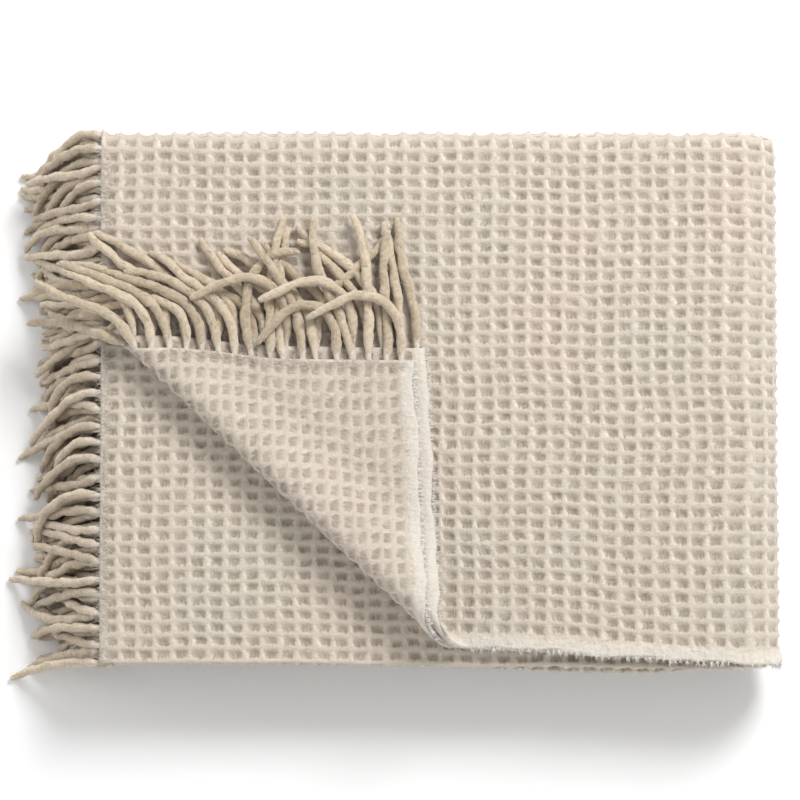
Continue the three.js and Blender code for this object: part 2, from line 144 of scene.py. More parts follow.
ACROSS = fold_path(
    (SELVEDGE_EDGE, HALF_BUNDLE),
    [BACK_RUN - SELVEDGE_EDGE, BACK_RUN - FRONT_RUN, BACK_RUN - FRONT_RUN, BACK_RUN - SELVEDGE_EDGE],
    [(BACK_FOLD, -1), (SMALL_FOLD, -1), (SMALL_FOLD, 1)],
)
ALONG = fold_path(
    (LEFT_EDGE, HALF_STACK),
    [RIGHT_RUN - LEFT_EDGE, RIGHT_RUN - LEFT_RUN, RIGHT_RUN - LEFT_RUN,
     RIGHT_RUN - LEFT_EDGE - UNDER_END_INSET],
    [(THICK_FOLD, -1), (BUNDLE_FOLD, -1), (BUNDLE_FOLD, 1)],
)
BACK_TURN, RIGHT_TURN = ACROSS[1], ALONG[1]
CLOTH_WIDTH, CLOTH_LENGTH = ACROSS[-1]["to"], ALONG[-1]["to"]
print(f"cloth {CLOTH_WIDTH:.0f} by {CLOTH_LENGTH:.0f} mm flat")

# %% [markdown]
# ## The turned corner
#
# Both upper layers roll over one slanting line, like a page being turned. Their distance past the
# line becomes an angle round a cone, and what is left lies back on the panel. The cone is thin by
# the fringe and wide at the selvedge, because the thick cloth rolls more loosely there.

# %% The roll
ROLL_START = (-183.3, 35.0)
ROLL_END = (18.3, -153.5)
ROLL_REACH, ROLL_RISE = (3.4, 4.6), (3.4, 9.5)  # half width and half height at its two ends
LEAST_ROLL = 2.0
LIE_DOWN = (5.5, 6.0)  # the flap lies flat this many rises past the roll, and this much more
# the flap is drawn together by these shares, over this run, towards this y
FLAP_SHRINK, FLAP_LEAN, SHRINK_OVER, SHRINK_TO = 0.03, 0.06, 60.0, -120.0
ROLL_RUN = math.dist(ROLL_START, ROLL_END)
ROLL_ALONG = tuple((end - start) / ROLL_RUN for start, end in zip(ROLL_START, ROLL_END))
ROLL_OUT = (ROLL_ALONG[1], -ROLL_ALONG[0])


def smooth(value, low, high):
    """0 under low, 1 over high and a soft rise between."""
    t = np.clip((value - low) / (high - low), 0, 1)
    return t * t * (3 - 2 * t)


def between(ends, along):
    """A size of the roll at a distance along its line."""
    return np.maximum(ends[0] + (ends[1] - ends[0]) * along / ROLL_RUN, LEAST_ROLL)


def turn_corner(x, y, drop, lift):
    """Where a point of the flat corner goes. drop is its layer's depth, lift its place on it."""
    along, past = ((x - ROLL_START[0]) * way[0] + (y - ROLL_START[1]) * way[1]
                   for way in (ROLL_ALONG, ROLL_OUT))
    reach, rise = between(ROLL_REACH, along), between(ROLL_RISE, along)
    inner, outer = ([half_turn(a + extra, b + extra) for a, b in zip(ROLL_REACH, ROLL_RISE)]
                    for extra in (0, LAYER_PITCH))
    run = np.where(drop > 0, between(outer, along), between(inner, along))
    turned = np.clip(math.pi * past / run, 0, math.pi)
    over = np.maximum(0, past - run)
    out = np.where(past <= 0, past, (reach + drop - lift) * np.sin(turned) - over)
    rest = (2 * rise - LAYER_PITCH) * smooth(over, 0, LIE_DOWN[0] * rise + LIE_DOWN[1])
    height = UPPER_LAYER + rise - (rise + drop - lift) * np.cos(turned) - rest
    px, py = (ROLL_START[k] + along * ROLL_ALONG[k] + out * ROLL_OUT[k] for k in (0, 1))
    drawn = FLAP_SHRINK * (SHRINK_TO - py) - FLAP_LEAN * (px - ROLL_START[0])
    return px, py + drawn * smooth(over, 0, SHRINK_OVER), height


flap_corner = turn_corner(LEFT_EDGE, SELVEDGE_EDGE, 0.0, 0.0)
print("the corner comes to lie at", np.round(flap_corner, 1))

# %% [markdown]
# ## A stack that has settled
#
# No real pile of cloth is a perfect box. This one slopes to the front, its lower layers bow out,
# and its top is softly uneven. Each is a small, smooth push, so the layers stay in their order.

# %% How a point of the cloth lies
# depth, way in x, way in y, wave length, shift
WAVES = [(0.5, 1, 0.35, 260, 0.8), (0.4, -0.4, 1, 290, 2.1), (0.3, 0.7, -0.7, 210, 0.3)]
# how far each push goes, and the places where it begins, is whole and ends
FRONT_SLOPE, FRONT_REACH = 3.7, 120.0
BOW, BOW_FROM, BOW_TO, BOW_KINK, BOW_END = 2.6, -20.0, 100.0, 128.0, 152.0
BOWED = (0.85 * BUNDLE_PITCH, 1.15 * BUNDLE_PITCH)  # only what lies lower bows out
SELVEDGE_BACK, BACK_FROM, BACK_TO = 3.2, 100.0, 225.0
SELVEDGE_SLOPE, SLOPE_FROM, SLOPE_TO, SLOPE_FADE, SLOPE_END = 8.0, 225.0, 400.0, 500.0, 700.0
CORNER_REACH = 290.0
END_PULL, PULL_TO, PULL_FROM, PULL_FADE = 13.0, 46.0, 100.0, 220.0


def unevenness(x, y, z):
    """How much higher the stack is here than a flat one."""
    height = np.clip((z - FLOOR) / (UPPER_LAYER - FLOOR), 0, 1)
    lift = sum(d * np.sin(2 * math.pi * (ax * x + ay * y) / wave + shift)
               for d, ax, ay, wave, shift in WAVES)
    return height * height * lift


def near_front(y):
    return 1 - smooth(y, FRONT_FOLD_EDGE, FRONT_FOLD_EDGE + FRONT_REACH)


def selvedge_forward(s, y, h):
    """How far the upper layers come forward at their selvedge."""
    forward = SELVEDGE_SLOPE * smooth(s, SLOPE_FROM, SLOPE_TO)
    forward = forward - SELVEDGE_BACK * smooth(s, BACK_FROM, BACK_TO)
    is_upper = smooth(h, -0.4 * LAYER_PITCH, 0.4 * LAYER_PITCH)
    return forward * (1 - smooth(s, SLOPE_FADE, SLOPE_END)) * is_upper * near_front(y)


def settle(x, y, z):
    """The slope to the front, the bow of the lower layers and the uneven top."""
    slope = FRONT_SLOPE * smooth(x, LEFT_EDGE, RIGHT_EDGE)
    bow = BOW * smooth(x, BOW_FROM, BOW_TO) * (1 - smooth(x, BOW_KINK, BOW_END))
    bow = bow * (1 - smooth(z, *BOWED))
    return x, y - (slope + bow) * near_front(y), z + unevenness(x, y, z)


def cloth_point(s, w, off):
    """Where the point s along the length and w across the width lies, off the cloth's middle."""
    s, w, off = np.broadcast_arrays(s, w, off)
    y, h = place_on(ACROSS, w, off)
    x, z = place_on(ALONG, s, h)
    upper = w < CORNER_REACH
    corner = (s < CORNER_REACH) & (upper | (w > CLOTH_WIDTH - CORNER_REACH))
    pull = END_PULL * (1 - smooth(y, PULL_TO, PULL_FROM))
    flat_x = LEFT_EDGE + s + pull * (1 - np.minimum(1, s / PULL_FADE))
    drop, lift = np.where(upper, 0, LAYER_PITCH), np.where(upper, off, -off)
    tx, ty, tz = turn_corner(flat_x, y, drop, lift)
    forward = selvedge_forward(s, y, h)
    return settle(np.where(corner, tx, x), np.where(corner, ty, y) - forward, np.where(corner, tz, z))


# %% [markdown]
# ## From millimetres to the frame
#
# The CAD part was moved so that the middle of its box's underside is the origin. The same move is
# made here, and the sheet's right-most point at its right fold is worked out.

# %% The move into the frame
FRAME_SHIFT = (28.146, 1.032, -FLOOR)
MIDDLE_OF_PANEL = 150.0


def to_frame(points):
    return (np.asarray(points) + np.array(FRAME_SHIFT)) * MM


round_fold = np.linspace(RIGHT_TURN["from"], RIGHT_TURN["to"], 71)
right_most = to_frame(np.stack(cloth_point(round_fold, MIDDLE_OF_PANEL, HALF), 1))[:, 0].max()

# %% [markdown]
# ## The weave's relief
#
# A waffle weave is a grid of raised floats round sunken pits. The pits are wider than they are
# tall, and no two are quite the same. A Displace modifier with a regular texture would make them
# all alike, so the depth is a formula of the place in the weave. Places are s, along the cloth from
# its fringed end, and w, across it from a selvedge.

# %% Cells of the weave
CELL_S, CELL_W = 10.7, 7.9
DRIFTS = 6
TABLE = 256
SHIFT_U, SLANT_U, SHIFT_V, SLANT_V = 0.30, 0.55, 0.26, 0.25  # how much cells differ
rng = np.random.default_rng(7)
DRIFT = rng.uniform(0, 2 * math.pi, (2, DRIFTS))
CHANCE = rng.uniform(0, 1, (TABLE, TABLE, 5))


def chance(u, v, kind):
    """A number from 0 to 1 that belongs to a cell of the weave."""
    return CHANCE[np.floor(u).astype(int) % TABLE, np.floor(v).astype(int) % TABLE, kind]


def cells(s, w):
    """The place in the weave, in cells. Slow waves bend the grid, and each cell has its shape."""
    u, v = s / CELL_S, w / CELL_W
    for k in range(DRIFTS):
        wave, bend = 35 + 27 * k, 0.020 + 0.006 * k
        u = u + bend * np.sin(2 * math.pi * w / wave + DRIFT[0, k] + s / (60 + 20 * k))
        v = v + bend * np.sin(2 * math.pi * s / (wave + 9) + DRIFT[1, k] + w / (70 + 15 * k))
    du, dv = u % 1 - 0.5, v % 1 - 0.5
    inside = (1 - 4 * du * du) * (1 - 4 * dv * dv)
    own = {kind: chance(u, v, kind) - 0.5 for kind in (0, 1, 3, 4)}
    u_new = u + (SHIFT_U * own[0] + SLANT_U * own[3] * dv) * inside
    v_new = v + (SHIFT_V * own[1] + SLANT_V * own[4] * du) * inside
    return u_new, v_new


print(f"cells of {CELL_S} by {CELL_W} mm, {CLOTH_WIDTH / CELL_W:.0f} across the cloth")

# %% Depth of the surface
PIT_DEPTH = 1.35
LEAST_PIT, MORE_PIT = 0.65, 0.6  # shares of that depth: what every pit has, and chance adds
PIT_S, PIT_W = (0.14, 0.46), (0.08, 0.43)  # where a pit's wall begins and ends, in cells
SAG_S, SAG_W = (0.3, 0.5), (0.25, 0.5)  # where a float sags between two crossings
SAG_DEPTH_S, SAG_DEPTH_W = 0.45, 0.6
GAPE = (0.2, 0.5)  # round a fold the cells gape, and their floats sag from here to there
GAPE_DEPTH_S, GAPE_DEPTH_W = 0.9, 0.8
FOLD_EASE, END_EASE = 6, 5
ROUGHNESS = 0.22  # what chance adds at each point
SELVEDGE_WIDTH = 7.5


def selvedge(w):
    """1 in the plain bands along both selvedges."""
    edge = np.minimum(w, CLOTH_WIDTH - w)
    return 1 - smooth(edge, SELVEDGE_WIDTH - 2, SELVEDGE_WIDTH + 1)


def on_fold(distance, fold):
    """1 where the cloth goes round a fold, and 0 a little way from it."""
    start, stop = fold["from"], fold["to"]
    past_start = smooth(distance, start - FOLD_EASE, start + FOLD_EASE)
    return past_start * (1 - smooth(distance, stop - FOLD_EASE, stop + FOLD_EASE))


def relief(s, w):
    """How deep the surface lies under the top of the floats."""
    u, v = cells(s, w)
    du, dv = np.abs(u % 1 - 0.5), np.abs(v % 1 - 0.5)
    pit = (1 - smooth(du, *PIT_S)) * (1 - smooth(dv, *PIT_W))
    depth = PIT_DEPTH * (LEAST_PIT + MORE_PIT * chance(u, v, 2))
    dip = SAG_DEPTH_W * (1 - smooth(dv, *SAG_W)) + SAG_DEPTH_S * (1 - smooth(du, *SAG_S))
    open_cells = np.maximum(on_fold(s, RIGHT_TURN), on_fold(w, BACK_TURN)) * (1 - pit)
    deeper = GAPE_DEPTH_W * (1 - smooth(dv, *GAPE)) + GAPE_DEPTH_S * (1 - smooth(du, *GAPE))
    end = smooth(s, 0, END_EASE) * smooth(CLOTH_LENGTH - s, 0, END_EASE)
    rough = rng.uniform(0, ROUGHNESS, np.shape(s))
    return (pit * depth + (dip + open_cells * deeper) + rough) * (1 - selvedge(w)) * end


print("deepest pit", PIT_DEPTH * (LEAST_PIT + MORE_PIT), "mm")

# %% Selvedges pulled in and out
# depth, length of the wave, shift
LOW_PULLS = [(0.7, 7.3, 1.0), (0.6, 12.9, 0.0), (0.35, 3.1, 0.4)]
HIGH_PULLS = [(0.7, 8.1, 2.0), (0.6, 14.3, 4.0), (0.35, 2.9, 0.0)]
PULL_REACH = 14


def frayed(s, w):
    """The width's place with the selvedges pulled in and out a little, as washed ones are."""
    low, high = (sum(depth * np.sin(s / wave + shift) for depth, wave, shift in pulls)
                 for pulls in (LOW_PULLS, HIGH_PULLS))
    near_low, near_high = (1 - smooth(edge, 0, PULL_REACH) for edge in (w, CLOTH_WIDTH - w))
    return w + low * near_low + high * near_high


print("selvedges pulled by up to", sum(pull[0] for pull in LOW_PULLS), "mm")

# %% [markdown]
# ## Where the sheet has points
#
# A grid with the same step everywhere would spend as many faces on the hidden layers as on the ones
# that show. So the sheet is built row by row across its width, with many marks along a row where
# the cloth shows and few where it is inside the stack.

# %% Marks along the cloth
COARSE = 60
FOLD_STEPS = 14


def spread(low, high, step):
    return np.linspace(low, high, max(2, int(round((high - low) / step)) + 1))


def roll_line(y):
    """Where the roll's line crosses a given y, as a distance from the fringed end."""
    return ROLL_START[0] + (y - ROLL_START[1]) * ROLL_ALONG[0] / ROLL_ALONG[1] - LEFT_EDGE


def merge(low, high, step, marks=None):
    """Marks, the few of a hidden row if none are given, with fine ones from low to high."""
    marks = few_marks if marks is None else marks
    if high - low < step:
        return marks
    grid = np.arange(math.ceil(low / step), math.floor(high / step) + 1) * step
    grid = grid[(grid > 0) & (grid < CLOTH_LENGTH)]
    kept = marks[(marks < low - 0.6 * step) | (marks > high + 0.6 * step)]
    return np.union1d(np.union1d(kept, grid), [0.0, CLOTH_LENGTH])


few_marks = [0.0]
for piece in ALONG:
    length = piece["to"] - piece["from"]
    count = FOLD_STEPS if "spin" in piece else max(2, round(length / COARSE))
    few_marks += [piece["from"] + length * (i + 1) / count for i in range(count)]
few_marks = np.array(few_marks)
print(len(few_marks), "marks along a hidden row")

# %% Rows of the face that shows
FINE_S, FINE_W = CELL_S / 4.9, CELL_W / 4.5
THICK_END = RIGHT_TURN["to"]
THIRD_SHOWN = 205  # how far back from its front fold the third layer shows under the flap
SECOND_SHOWN = 105  # and from where the second layer shows on the flap
HIDDEN_ROW, DEEP_ROW = 50, 75
TURNED_STEP = 4.2
BACK_STEP = 3.2  # at the back fold, under the panel
FRONT_STEP_S, FRONT_STEP_W = 3.6, 1.05
BEFORE_FRONT, BEFORE_STEP, AFTER_FRONT = 8, 3, 6
INNER_STEP = 1.1
# how far past the roll's line the fine marks go, on the layers and on the hidden face
PAST_FIRST, PAST_SECOND, PAST_THIRD, PAST_HIDDEN = 2, 8, 14, 12


def first_marks(w):
    """Marks of the upper layer: fine on the panel, coarser on the corner that is turned down."""
    line = roll_line(SELVEDGE_EDGE + w)
    marks = merge(max(0, line - PAST_FIRST), THICK_END + PAST_HIDDEN, FINE_S)
    return merge(0, line - PAST_FIRST, TURNED_STEP, marks) if line > PAST_SECOND else marks


def shown_rows():
    """The face of the cloth that shows, as rows at one w each with their own list of s."""
    one, back, four, front, three, inner, two = ACROSS
    three_shown, two_shown = three["from"] + THIRD_SHOWN, two["from"] + SECOND_SHOWN
    back_marks = merge(THICK_END, CLOTH_LENGTH, BACK_STEP, merge(0, THICK_END, FINE_S))
    front_marks = merge(0, CLOTH_LENGTH, FRONT_STEP_S)
    rows = [(w, first_marks(w)) for w in spread(0, one["to"], FINE_W)]
    rows += [(w, back_marks) for w in spread(back["from"], back["to"], FINE_W)[1:]]
    rows += [(w, few_marks) for w in spread(four["from"], four["to"] - BEFORE_FRONT, DEEP_ROW)[1:]]
    rows += [(w, front_marks) for w in np.union1d(
        spread(four["to"] - BEFORE_FRONT, front["from"], BEFORE_STEP)[1:],
        spread(front["from"], front["to"] + AFTER_FRONT, FRONT_STEP_W))]
    for w in spread(front["to"] + AFTER_FRONT, three_shown, FINE_W)[1:]:
        line = roll_line(FRONT_RUN + w - three["from"])
        rows.append((w, merge(0, max(0, line + PAST_THIRD), FINE_S)))
    for low, high, step in ((three_shown, three["to"], HIDDEN_ROW),
                            (inner["from"], inner["to"], INNER_STEP),
                            (two["from"], two_shown, HIDDEN_ROW)):
        rows += [(w, few_marks) for w in spread(low, high, step)[1:]]
    for w in spread(two_shown, CLOTH_WIDTH, FINE_W)[1:]:
        line = roll_line(BACK_RUN - (w - two["from"]))
        rows.append((w, merge(0, line + PAST_SECOND, FINE_S)))
    return rows


shown = shown_rows()
print(len(shown), "rows on the face that shows")

# %% Rows of the hidden face
ROLLED, ROLLED_STEP, FLAT_STEP = 215, 4, 30
HIDDEN_FOLD_STEP = 1.3


def hidden_rows():
    """The other face, fine enough for the folds and the roll only."""
    first, last = ACROSS[0], ACROSS[-1]
    rows = []
    for piece in ACROSS:
        low, high = piece["from"], piece["to"]
        places = spread(low, high, HIDDEN_FOLD_STEP if "spin" in piece else HIDDEN_ROW)
        if piece is first:
            places = np.union1d(spread(low, low + ROLLED, ROLLED_STEP),
                                spread(low + ROLLED, high, FLAT_STEP))
        elif piece is last:
            places = np.union1d(spread(low, high - ROLLED, FLAT_STEP),
                                spread(high - ROLLED, high, ROLLED_STEP))
        for w in places[1:] if rows else places:
            marks = few_marks
            if piece is first or piece is last:
                line = roll_line(float(place_on(ACROSS, w, 0.0)[0]))
                marks = merge(0, line + PAST_HIDDEN, ROLLED_STEP)
            rows.append((w, marks))
    return rows


hidden = hidden_rows()
print(len(hidden), "rows on the hidden face")

# %% [markdown]
# ## Rows joined as a zip is
#
# Neighbouring rows have different marks, so no grid of squares fits between them. The triangles
# take one step at a time on whichever row is behind, as the teeth of a zip close. The two faces are
# then joined all round, which makes the sheet one closed thing with a real thickness.

# %% A sheet zipped from its rows


def zip_rows(a, ids_a, b, ids_b):
    """Triangles between two rows of points, whose marks a and b rise."""
    faces, i, j = [], 0, 0
    while i < len(a) - 1 or j < len(b) - 1:
        if j == len(b) - 1 or (i < len(a) - 1 and a[i + 1] <= b[j + 1]):
            faces.append((ids_a[i], ids_a[i + 1], ids_b[j]))
            i += 1
        else:
            faces.append((ids_a[i], ids_b[j + 1], ids_b[j]))
            j += 1
    return faces


def face_of(rows, first):
    """Places of the points of a face of the sheet, its triangles and the numbers in each row."""
    faces, ids = [], []
    for _, marks in rows:
        ids.append(np.arange(first, first + len(marks)))
        first += len(marks)
    for k in range(len(rows) - 1):
        faces += zip_rows(rows[k][1], ids[k], rows[k + 1][1], ids[k + 1])
    s = np.concatenate([marks for _, marks in rows])
    w = np.concatenate([np.full(len(marks), across) for across, marks in rows])
    return s, w, faces, ids


def flipped(faces):
    return [face[::-1] for face in faces]


s_a, w_a, faces_a, ids_a = face_of(shown, 0)
s_b, w_b, faces_b, ids_b = face_of(hidden, len(s_a))
cloth_faces = faces_a + flipped(faces_b)
cloth_faces += flipped(zip_rows(shown[0][1], ids_a[0], hidden[0][1], ids_b[0]))
cloth_faces += zip_rows(shown[-1][1], ids_a[-1], hidden[-1][1], ids_b[-1])
sides = [zip_rows([w for w, _ in shown], [i[end] for i in ids_a],
                  [w for w, _ in hidden], [i[end] for i in ids_b]) for end in (0, -1)]
cloth_faces += sides[0] + flipped(sides[1])
print("cloth", len(cloth_faces), "triangles")

# %% The cloth


def mesh_object(name, points, faces):
    """An object at the origin whose mesh has its place in the frame."""
    mesh = bpy.data.meshes.new(name)
    mesh.from_pydata(to_frame(points).tolist(), [], [tuple(int(i) for i in f) for f in faces])
    mesh.update()
    mesh.polygons.foreach_set("use_smooth", np.ones(len(mesh.polygons), bool))
    thing = bpy.data.objects.new(name, mesh)
    bpy.context.collection.objects.link(thing)
    return thing


def write_uv(thing, name, first, second):
    """Two numbers for each point, which a material reads by the name of this UV map."""
    layer = thing.data.uv_layers.new(name=name)
    corners = np.zeros(len(thing.data.loops), np.int32)
    thing.data.loops.foreach_get("vertex_index", corners)
    layer.data.foreach_set("uv", np.stack([first, second], 1)[corners].astype(np.float32).ravel())


shown_points = cloth_point(s_a, frayed(s_a, w_a), HALF - relief(s_a, w_a))
hidden_points = cloth_point(s_b, frayed(s_b, w_b), -HALF)
cloth_points = np.concatenate([np.stack(shown_points, 1), np.stack(hidden_points, 1)])
cloth_s, cloth_w = np.concatenate([s_a, s_b]), np.concatenate([w_a, w_b])
cell_u, cell_v = cells(cloth_s, cloth_w)
cloth = mesh_object("waffle_cloth", cloth_points, cloth_faces)
write_uv(cloth, "weave", cell_u, cell_v)
write_uv(cloth, "place", cloth_s, cloth_w)
write_uv(cloth, "chance", chance(cell_u, cell_v, 2), chance(cell_u, cell_v, 3))
print(cloth.name, len(cloth_points), "points")

# %% [markdown]
# ## The fringe
#
# At both ends the warp is left long, twisted in bundles and felted in the wash. Each strand is a
# soft fat yarn that keeps the bend it dried in. A strand modelled by hand would lie through its
# neighbours, so each one starts straight out of the cloth and is then let down: it keeps its
# length, bends a little, and comes to rest on the floor, on the panel or on other strands.

# %% Roots of the strands
STRAND_PITCH, PITCH_DIFFER = 10.2, 1.6
ROLL_TOP = 185.0  # the roll starts this far from the selvedge
PART_GAP = 4.0
# name, node it replaces, end, from, to, usual length, how far the lengths differ, fatness
ROWS = [
    ("fringe_upper", "fringe_upper_end", "upper", ROLL_TOP, CLOTH_WIDTH - ROLL_TOP, 70, 9, 0.93),
    ("fringe_turned", "fringe_turned_row", "upper", 0, ROLL_TOP - PART_GAP, 86, 8, 1.0),
    ("fringe_turned_top", "fringe_turned_top_row", "upper",
     CLOTH_WIDTH - ROLL_TOP + PART_GAP, CLOTH_WIDTH, 86, 8, 1.0),
    ("fringe_under", "fringe_under_end", "under", 0, CLOTH_WIDTH, 60, 7, 0.9),
]
TURNED_ROWS = (1, 2)
strand_luck = np.random.default_rng(10)


def strand_roots(end, low, high):
    """Roots of the strands of one end, between two widths, and the way that each leaves."""
    edge, inside = (0.0, 2.0) if end == "upper" else (CLOTH_LENGTH, CLOTH_LENGTH - 2.0)
    w = np.arange(STRAND_PITCH / 2, CLOTH_WIDTH, STRAND_PITCH)
    w = w + strand_luck.uniform(-PITCH_DIFFER, PITCH_DIFFER, len(w))
    w = w[(w > low) & (w < high)]
    root = np.stack(cloth_point(edge, w, 0.0), 1)
    way = root - np.stack(cloth_point(inside, w, 0.0), 1)
    return root, way / np.linalg.norm(way, axis=1, keepdims=True)


print("about", round(CLOTH_WIDTH / STRAND_PITCH), "strands at each end")

# %% How each strand lies
# At one x on the panel: how far the turned strands sweep to the left, in degrees, and how much
# they differ. Between two of these places the sweep is in proportion.
SWEEP_X = [-195, -150, -110, -80, -50, -15]
SWEEP = [78, 62, 48, 32, 16, 4]
SWEEP_DIFFER = [13, 18, 24, 26, 22, 15]
# Turned strands that curl right over: about where in x, and how far round, for each row
CURLS = {1: [(-95, 110), (-52, 118)], 2: [(-66, 142), (-24, 122)]}
# The same for the strands over the left edge, from the front to the back: how far they sweep to the
# front, and how far their tips hook that way
HANG_Y = [-160, -135, -100, -60, -25, 10, 45, 85, 120, 150, 165]
HANG_SWEEP = [-8, 1, 4, 14, 20, 16, 2, -2, 10, 26, 42]
HANG_HOOK = [14, 10, 14, 26, 30, 26, 14, 12, 26, 36, 46]
CALM_FROM = 140  # from the middle; the strands near the corners lie together
CALM, LIVELY = (7, 10), (18, 34)  # how much their sweeps and hooks differ, in degrees
TURNED_HOOK, CURL_HOOK = 34, 6
LOW_RISE, CURL_RISE = 0.02, 0.3
HANG_SWING, TURNED_SWING, CURL_SWING = (0.04, 0.5), (0.06, 0.6), (0.12, 0.85)


def hanging_lay(start):
    """Sweep, last bend, rise and the share of its length over which a strand swings."""
    sweep_differs, hook_differs = CALM if abs(start[1]) > CALM_FROM else LIVELY
    sweep = np.interp(start[1], HANG_Y, HANG_SWEEP) + strand_luck.normal(0, sweep_differs)
    hook = np.interp(start[1], HANG_Y, HANG_HOOK) + strand_luck.normal(0, hook_differs)
    return sweep, hook, LOW_RISE, HANG_SWING


def turned_lay(start, out, number):
    """The same for a strand of the turned corner."""
    differs = np.interp(start[0], SWEEP_X, SWEEP_DIFFER)
    target = np.interp(start[0], SWEEP_X, SWEEP) + strand_luck.normal(0, differs)
    leaves = math.degrees(math.atan2(out[1], out[0]))
    curl = [angle for at, angle in CURLS[number] if abs(start[0] - at) < STRAND_PITCH / 2]
    if curl:
        return 90 + curl[0] - leaves, strand_luck.normal(0, CURL_HOOK), CURL_RISE, CURL_SWING
    return 90 + target - leaves, strand_luck.normal(0, TURNED_HOOK), LOW_RISE, TURNED_SWING


print("sweeps from", min(HANG_SWEEP), "to", max(HANG_SWEEP), "degrees over the left edge")

# %% The strands as they leave the cloth
STRAND_NODES = 22
SUNK = 1.5  # the root starts inside the cloth
LEAVES_BY = 0.3  # of its length, over which a strand keeps the slope of the cloth's end


def draw_strand(start, out, length, sweep, hook, rise, swing):
    """A strand that leaves along out, swings by sweep in the plane and keeps a last bend."""
    step = length / (STRAND_NODES - 1)
    leaves, sweep, hook = math.atan2(out[1], out[0]), math.radians(sweep), math.radians(hook)
    line = [start - out * SUNK, start + out * (step - SUNK)]
    for k in range(2, STRAND_NODES):
        share = k / (STRAND_NODES - 1)
        angle = leaves + sweep * float(smooth(share, *swing)) + hook * share * share
        lift = rise * (1 - share) + out[2] * (1 - float(smooth(share, 0.0, LEAVES_BY)))
        aim = np.array([math.cos(angle), math.sin(angle), lift])
        line.append(line[-1] + aim / np.linalg.norm(aim) * step)
    return line


strand_row, strand_points, strand_length = [], [], []
for number, (_, _, end, low, high, length, differ, _) in enumerate(ROWS):
    for start, out in zip(*strand_roots(end, low, high)):
        own_length = length + differ * strand_luck.uniform(-1, 1)
        lay = turned_lay(start, out, number) if number in TURNED_ROWS else hanging_lay(start)
        strand_row.append(number)
        strand_points.append(draw_strand(start, out, own_length, *lay))
        strand_length.append(own_length)
strand_row = np.array(strand_row)
strand_points = np.array(strand_points)
strand_length = np.array(strand_length)
strand_fat = np.array([row[-1] for row in ROWS])[strand_row]
print("strands", len(strand_row))

# %% [markdown]
# ## Letting the strands down
#
# This is the small simulation. Every strand is a chain of points. Each step lets the chains fall a
# little, then puts back what must hold: the bend, the thickness of the strands, which may not share
# a place, the distance between neighbours, the panel and the floor.

# %% Thickness and neighbours
STRAND_RADIUS, ROOT_RADIUS, TIP_RADIUS = 2.95, 2.5, 2.3
FULL_BY, THIN_FROM = 0.2, 0.55  # shares of the length
TINY = 1e-9


def radius_along(share):
    return (ROOT_RADIUS + (STRAND_RADIUS - ROOT_RADIUS) * smooth(share, 0.0, FULL_BY)
            - (STRAND_RADIUS - TIP_RADIUS) * smooth(share, THIN_FROM, 1.0))


def close_pairs(points, reach):
    """Pairs of points closer than reach, found by sorting them into boxes."""
    box = np.floor(points / reach).astype(np.int64)
    box -= box.min(axis=0)
    size = box.max(axis=0) + 2
    key = (box[:, 0] * size[1] + box[:, 1]) * size[2] + box[:, 2]
    order = np.argsort(key, kind="stable")
    ordered = key[order]
    found = []
    for dx, dy, dz in np.ndindex(3, 3, 3):
        shift = ((dx - 1) * size[1] + dy - 1) * size[2] + dz - 1
        start = np.searchsorted(ordered, key + shift, "left")
        count = np.searchsorted(ordered, key + shift, "right") - start
        first = np.repeat(np.arange(len(points)), count)
        offset = np.arange(count.sum()) - np.repeat(np.cumsum(count) - count, count)
        second = order[np.repeat(start, count) + offset]
        keep = first < second
        found.append(np.stack([first[keep], second[keep]], 1))
    return np.concatenate(found)


print("radius at root, middle and tip", radius_along(np.array([0.0, 0.5, 1.0])))

# %% What holds a strand
BENDS = [(1, 0.2), (3, 0.16), (6, 0.10)]  # nodes between, stiffness
CLEARANCE = 0.94  # of the two radii, because felted yarn gives
PUSH_LIMIT, PUSH_SHARE = 1.2, 0.35
LINK_PASSES = 6


def bend_of(points, gap):
    return points[:, 2 * gap:] - 2 * points[:, gap:-gap] + points[:, :-2 * gap]


def keep_bend(points, goals, free):
    """Draws the strands back to the bend that they dried in."""
    for (gap, stiff), goal in zip(BENDS, goals):
        bend = bend_of(points, gap) - goal
        points[:, gap:-gap] += stiff * bend * free[:, gap:-gap]
        points[:, 2 * gap:] -= 0.5 * stiff * bend * free[:, 2 * gap:]
        points[:, :-2 * gap] -= 0.5 * stiff * bend * free[:, :-2 * gap]


def keep_clear(points, pairs, thick, free):
    """Pushes apart the points of two strands that share a place."""
    flat = points.reshape(-1, 3)
    a, b = pairs[:, 0], pairs[:, 1]
    apart = flat[a] - flat[b]
    far = np.linalg.norm(apart, axis=1) + TINY
    need = (thick[a] + thick[b]) * CLEARANCE
    push = np.clip(need - far, 0, PUSH_LIMIT)[:, None] * apart / far[:, None] * PUSH_SHARE
    shove = np.zeros_like(flat)
    np.add.at(shove, a, push)
    np.add.at(shove, b, -push)
    flat = flat + np.clip(shove, -PUSH_LIMIT, PUSH_LIMIT) * free.reshape(-1, 1)
    return flat.reshape(points.shape)


def keep_length(points, step, free):
    """Puts back the distance between neighbours of a strand."""
    for first in (0, 1) * LINK_PASSES:
        one, two = points[:, first:-1:2], points[:, first + 1::2]
        free_one, free_two = free[:, first:-1:2], free[:, first + 1::2]
        link = two - one
        size = np.linalg.norm(link, axis=2, keepdims=True) + TINY
        fix = link * (1 - step / size) / np.maximum(free_one + free_two, 1)
        one += fix * free_one
        two -= fix * free_two


print("strands may sink into each other by", round((1 - CLEARANCE) * 2 * STRAND_RADIUS, 2), "mm")

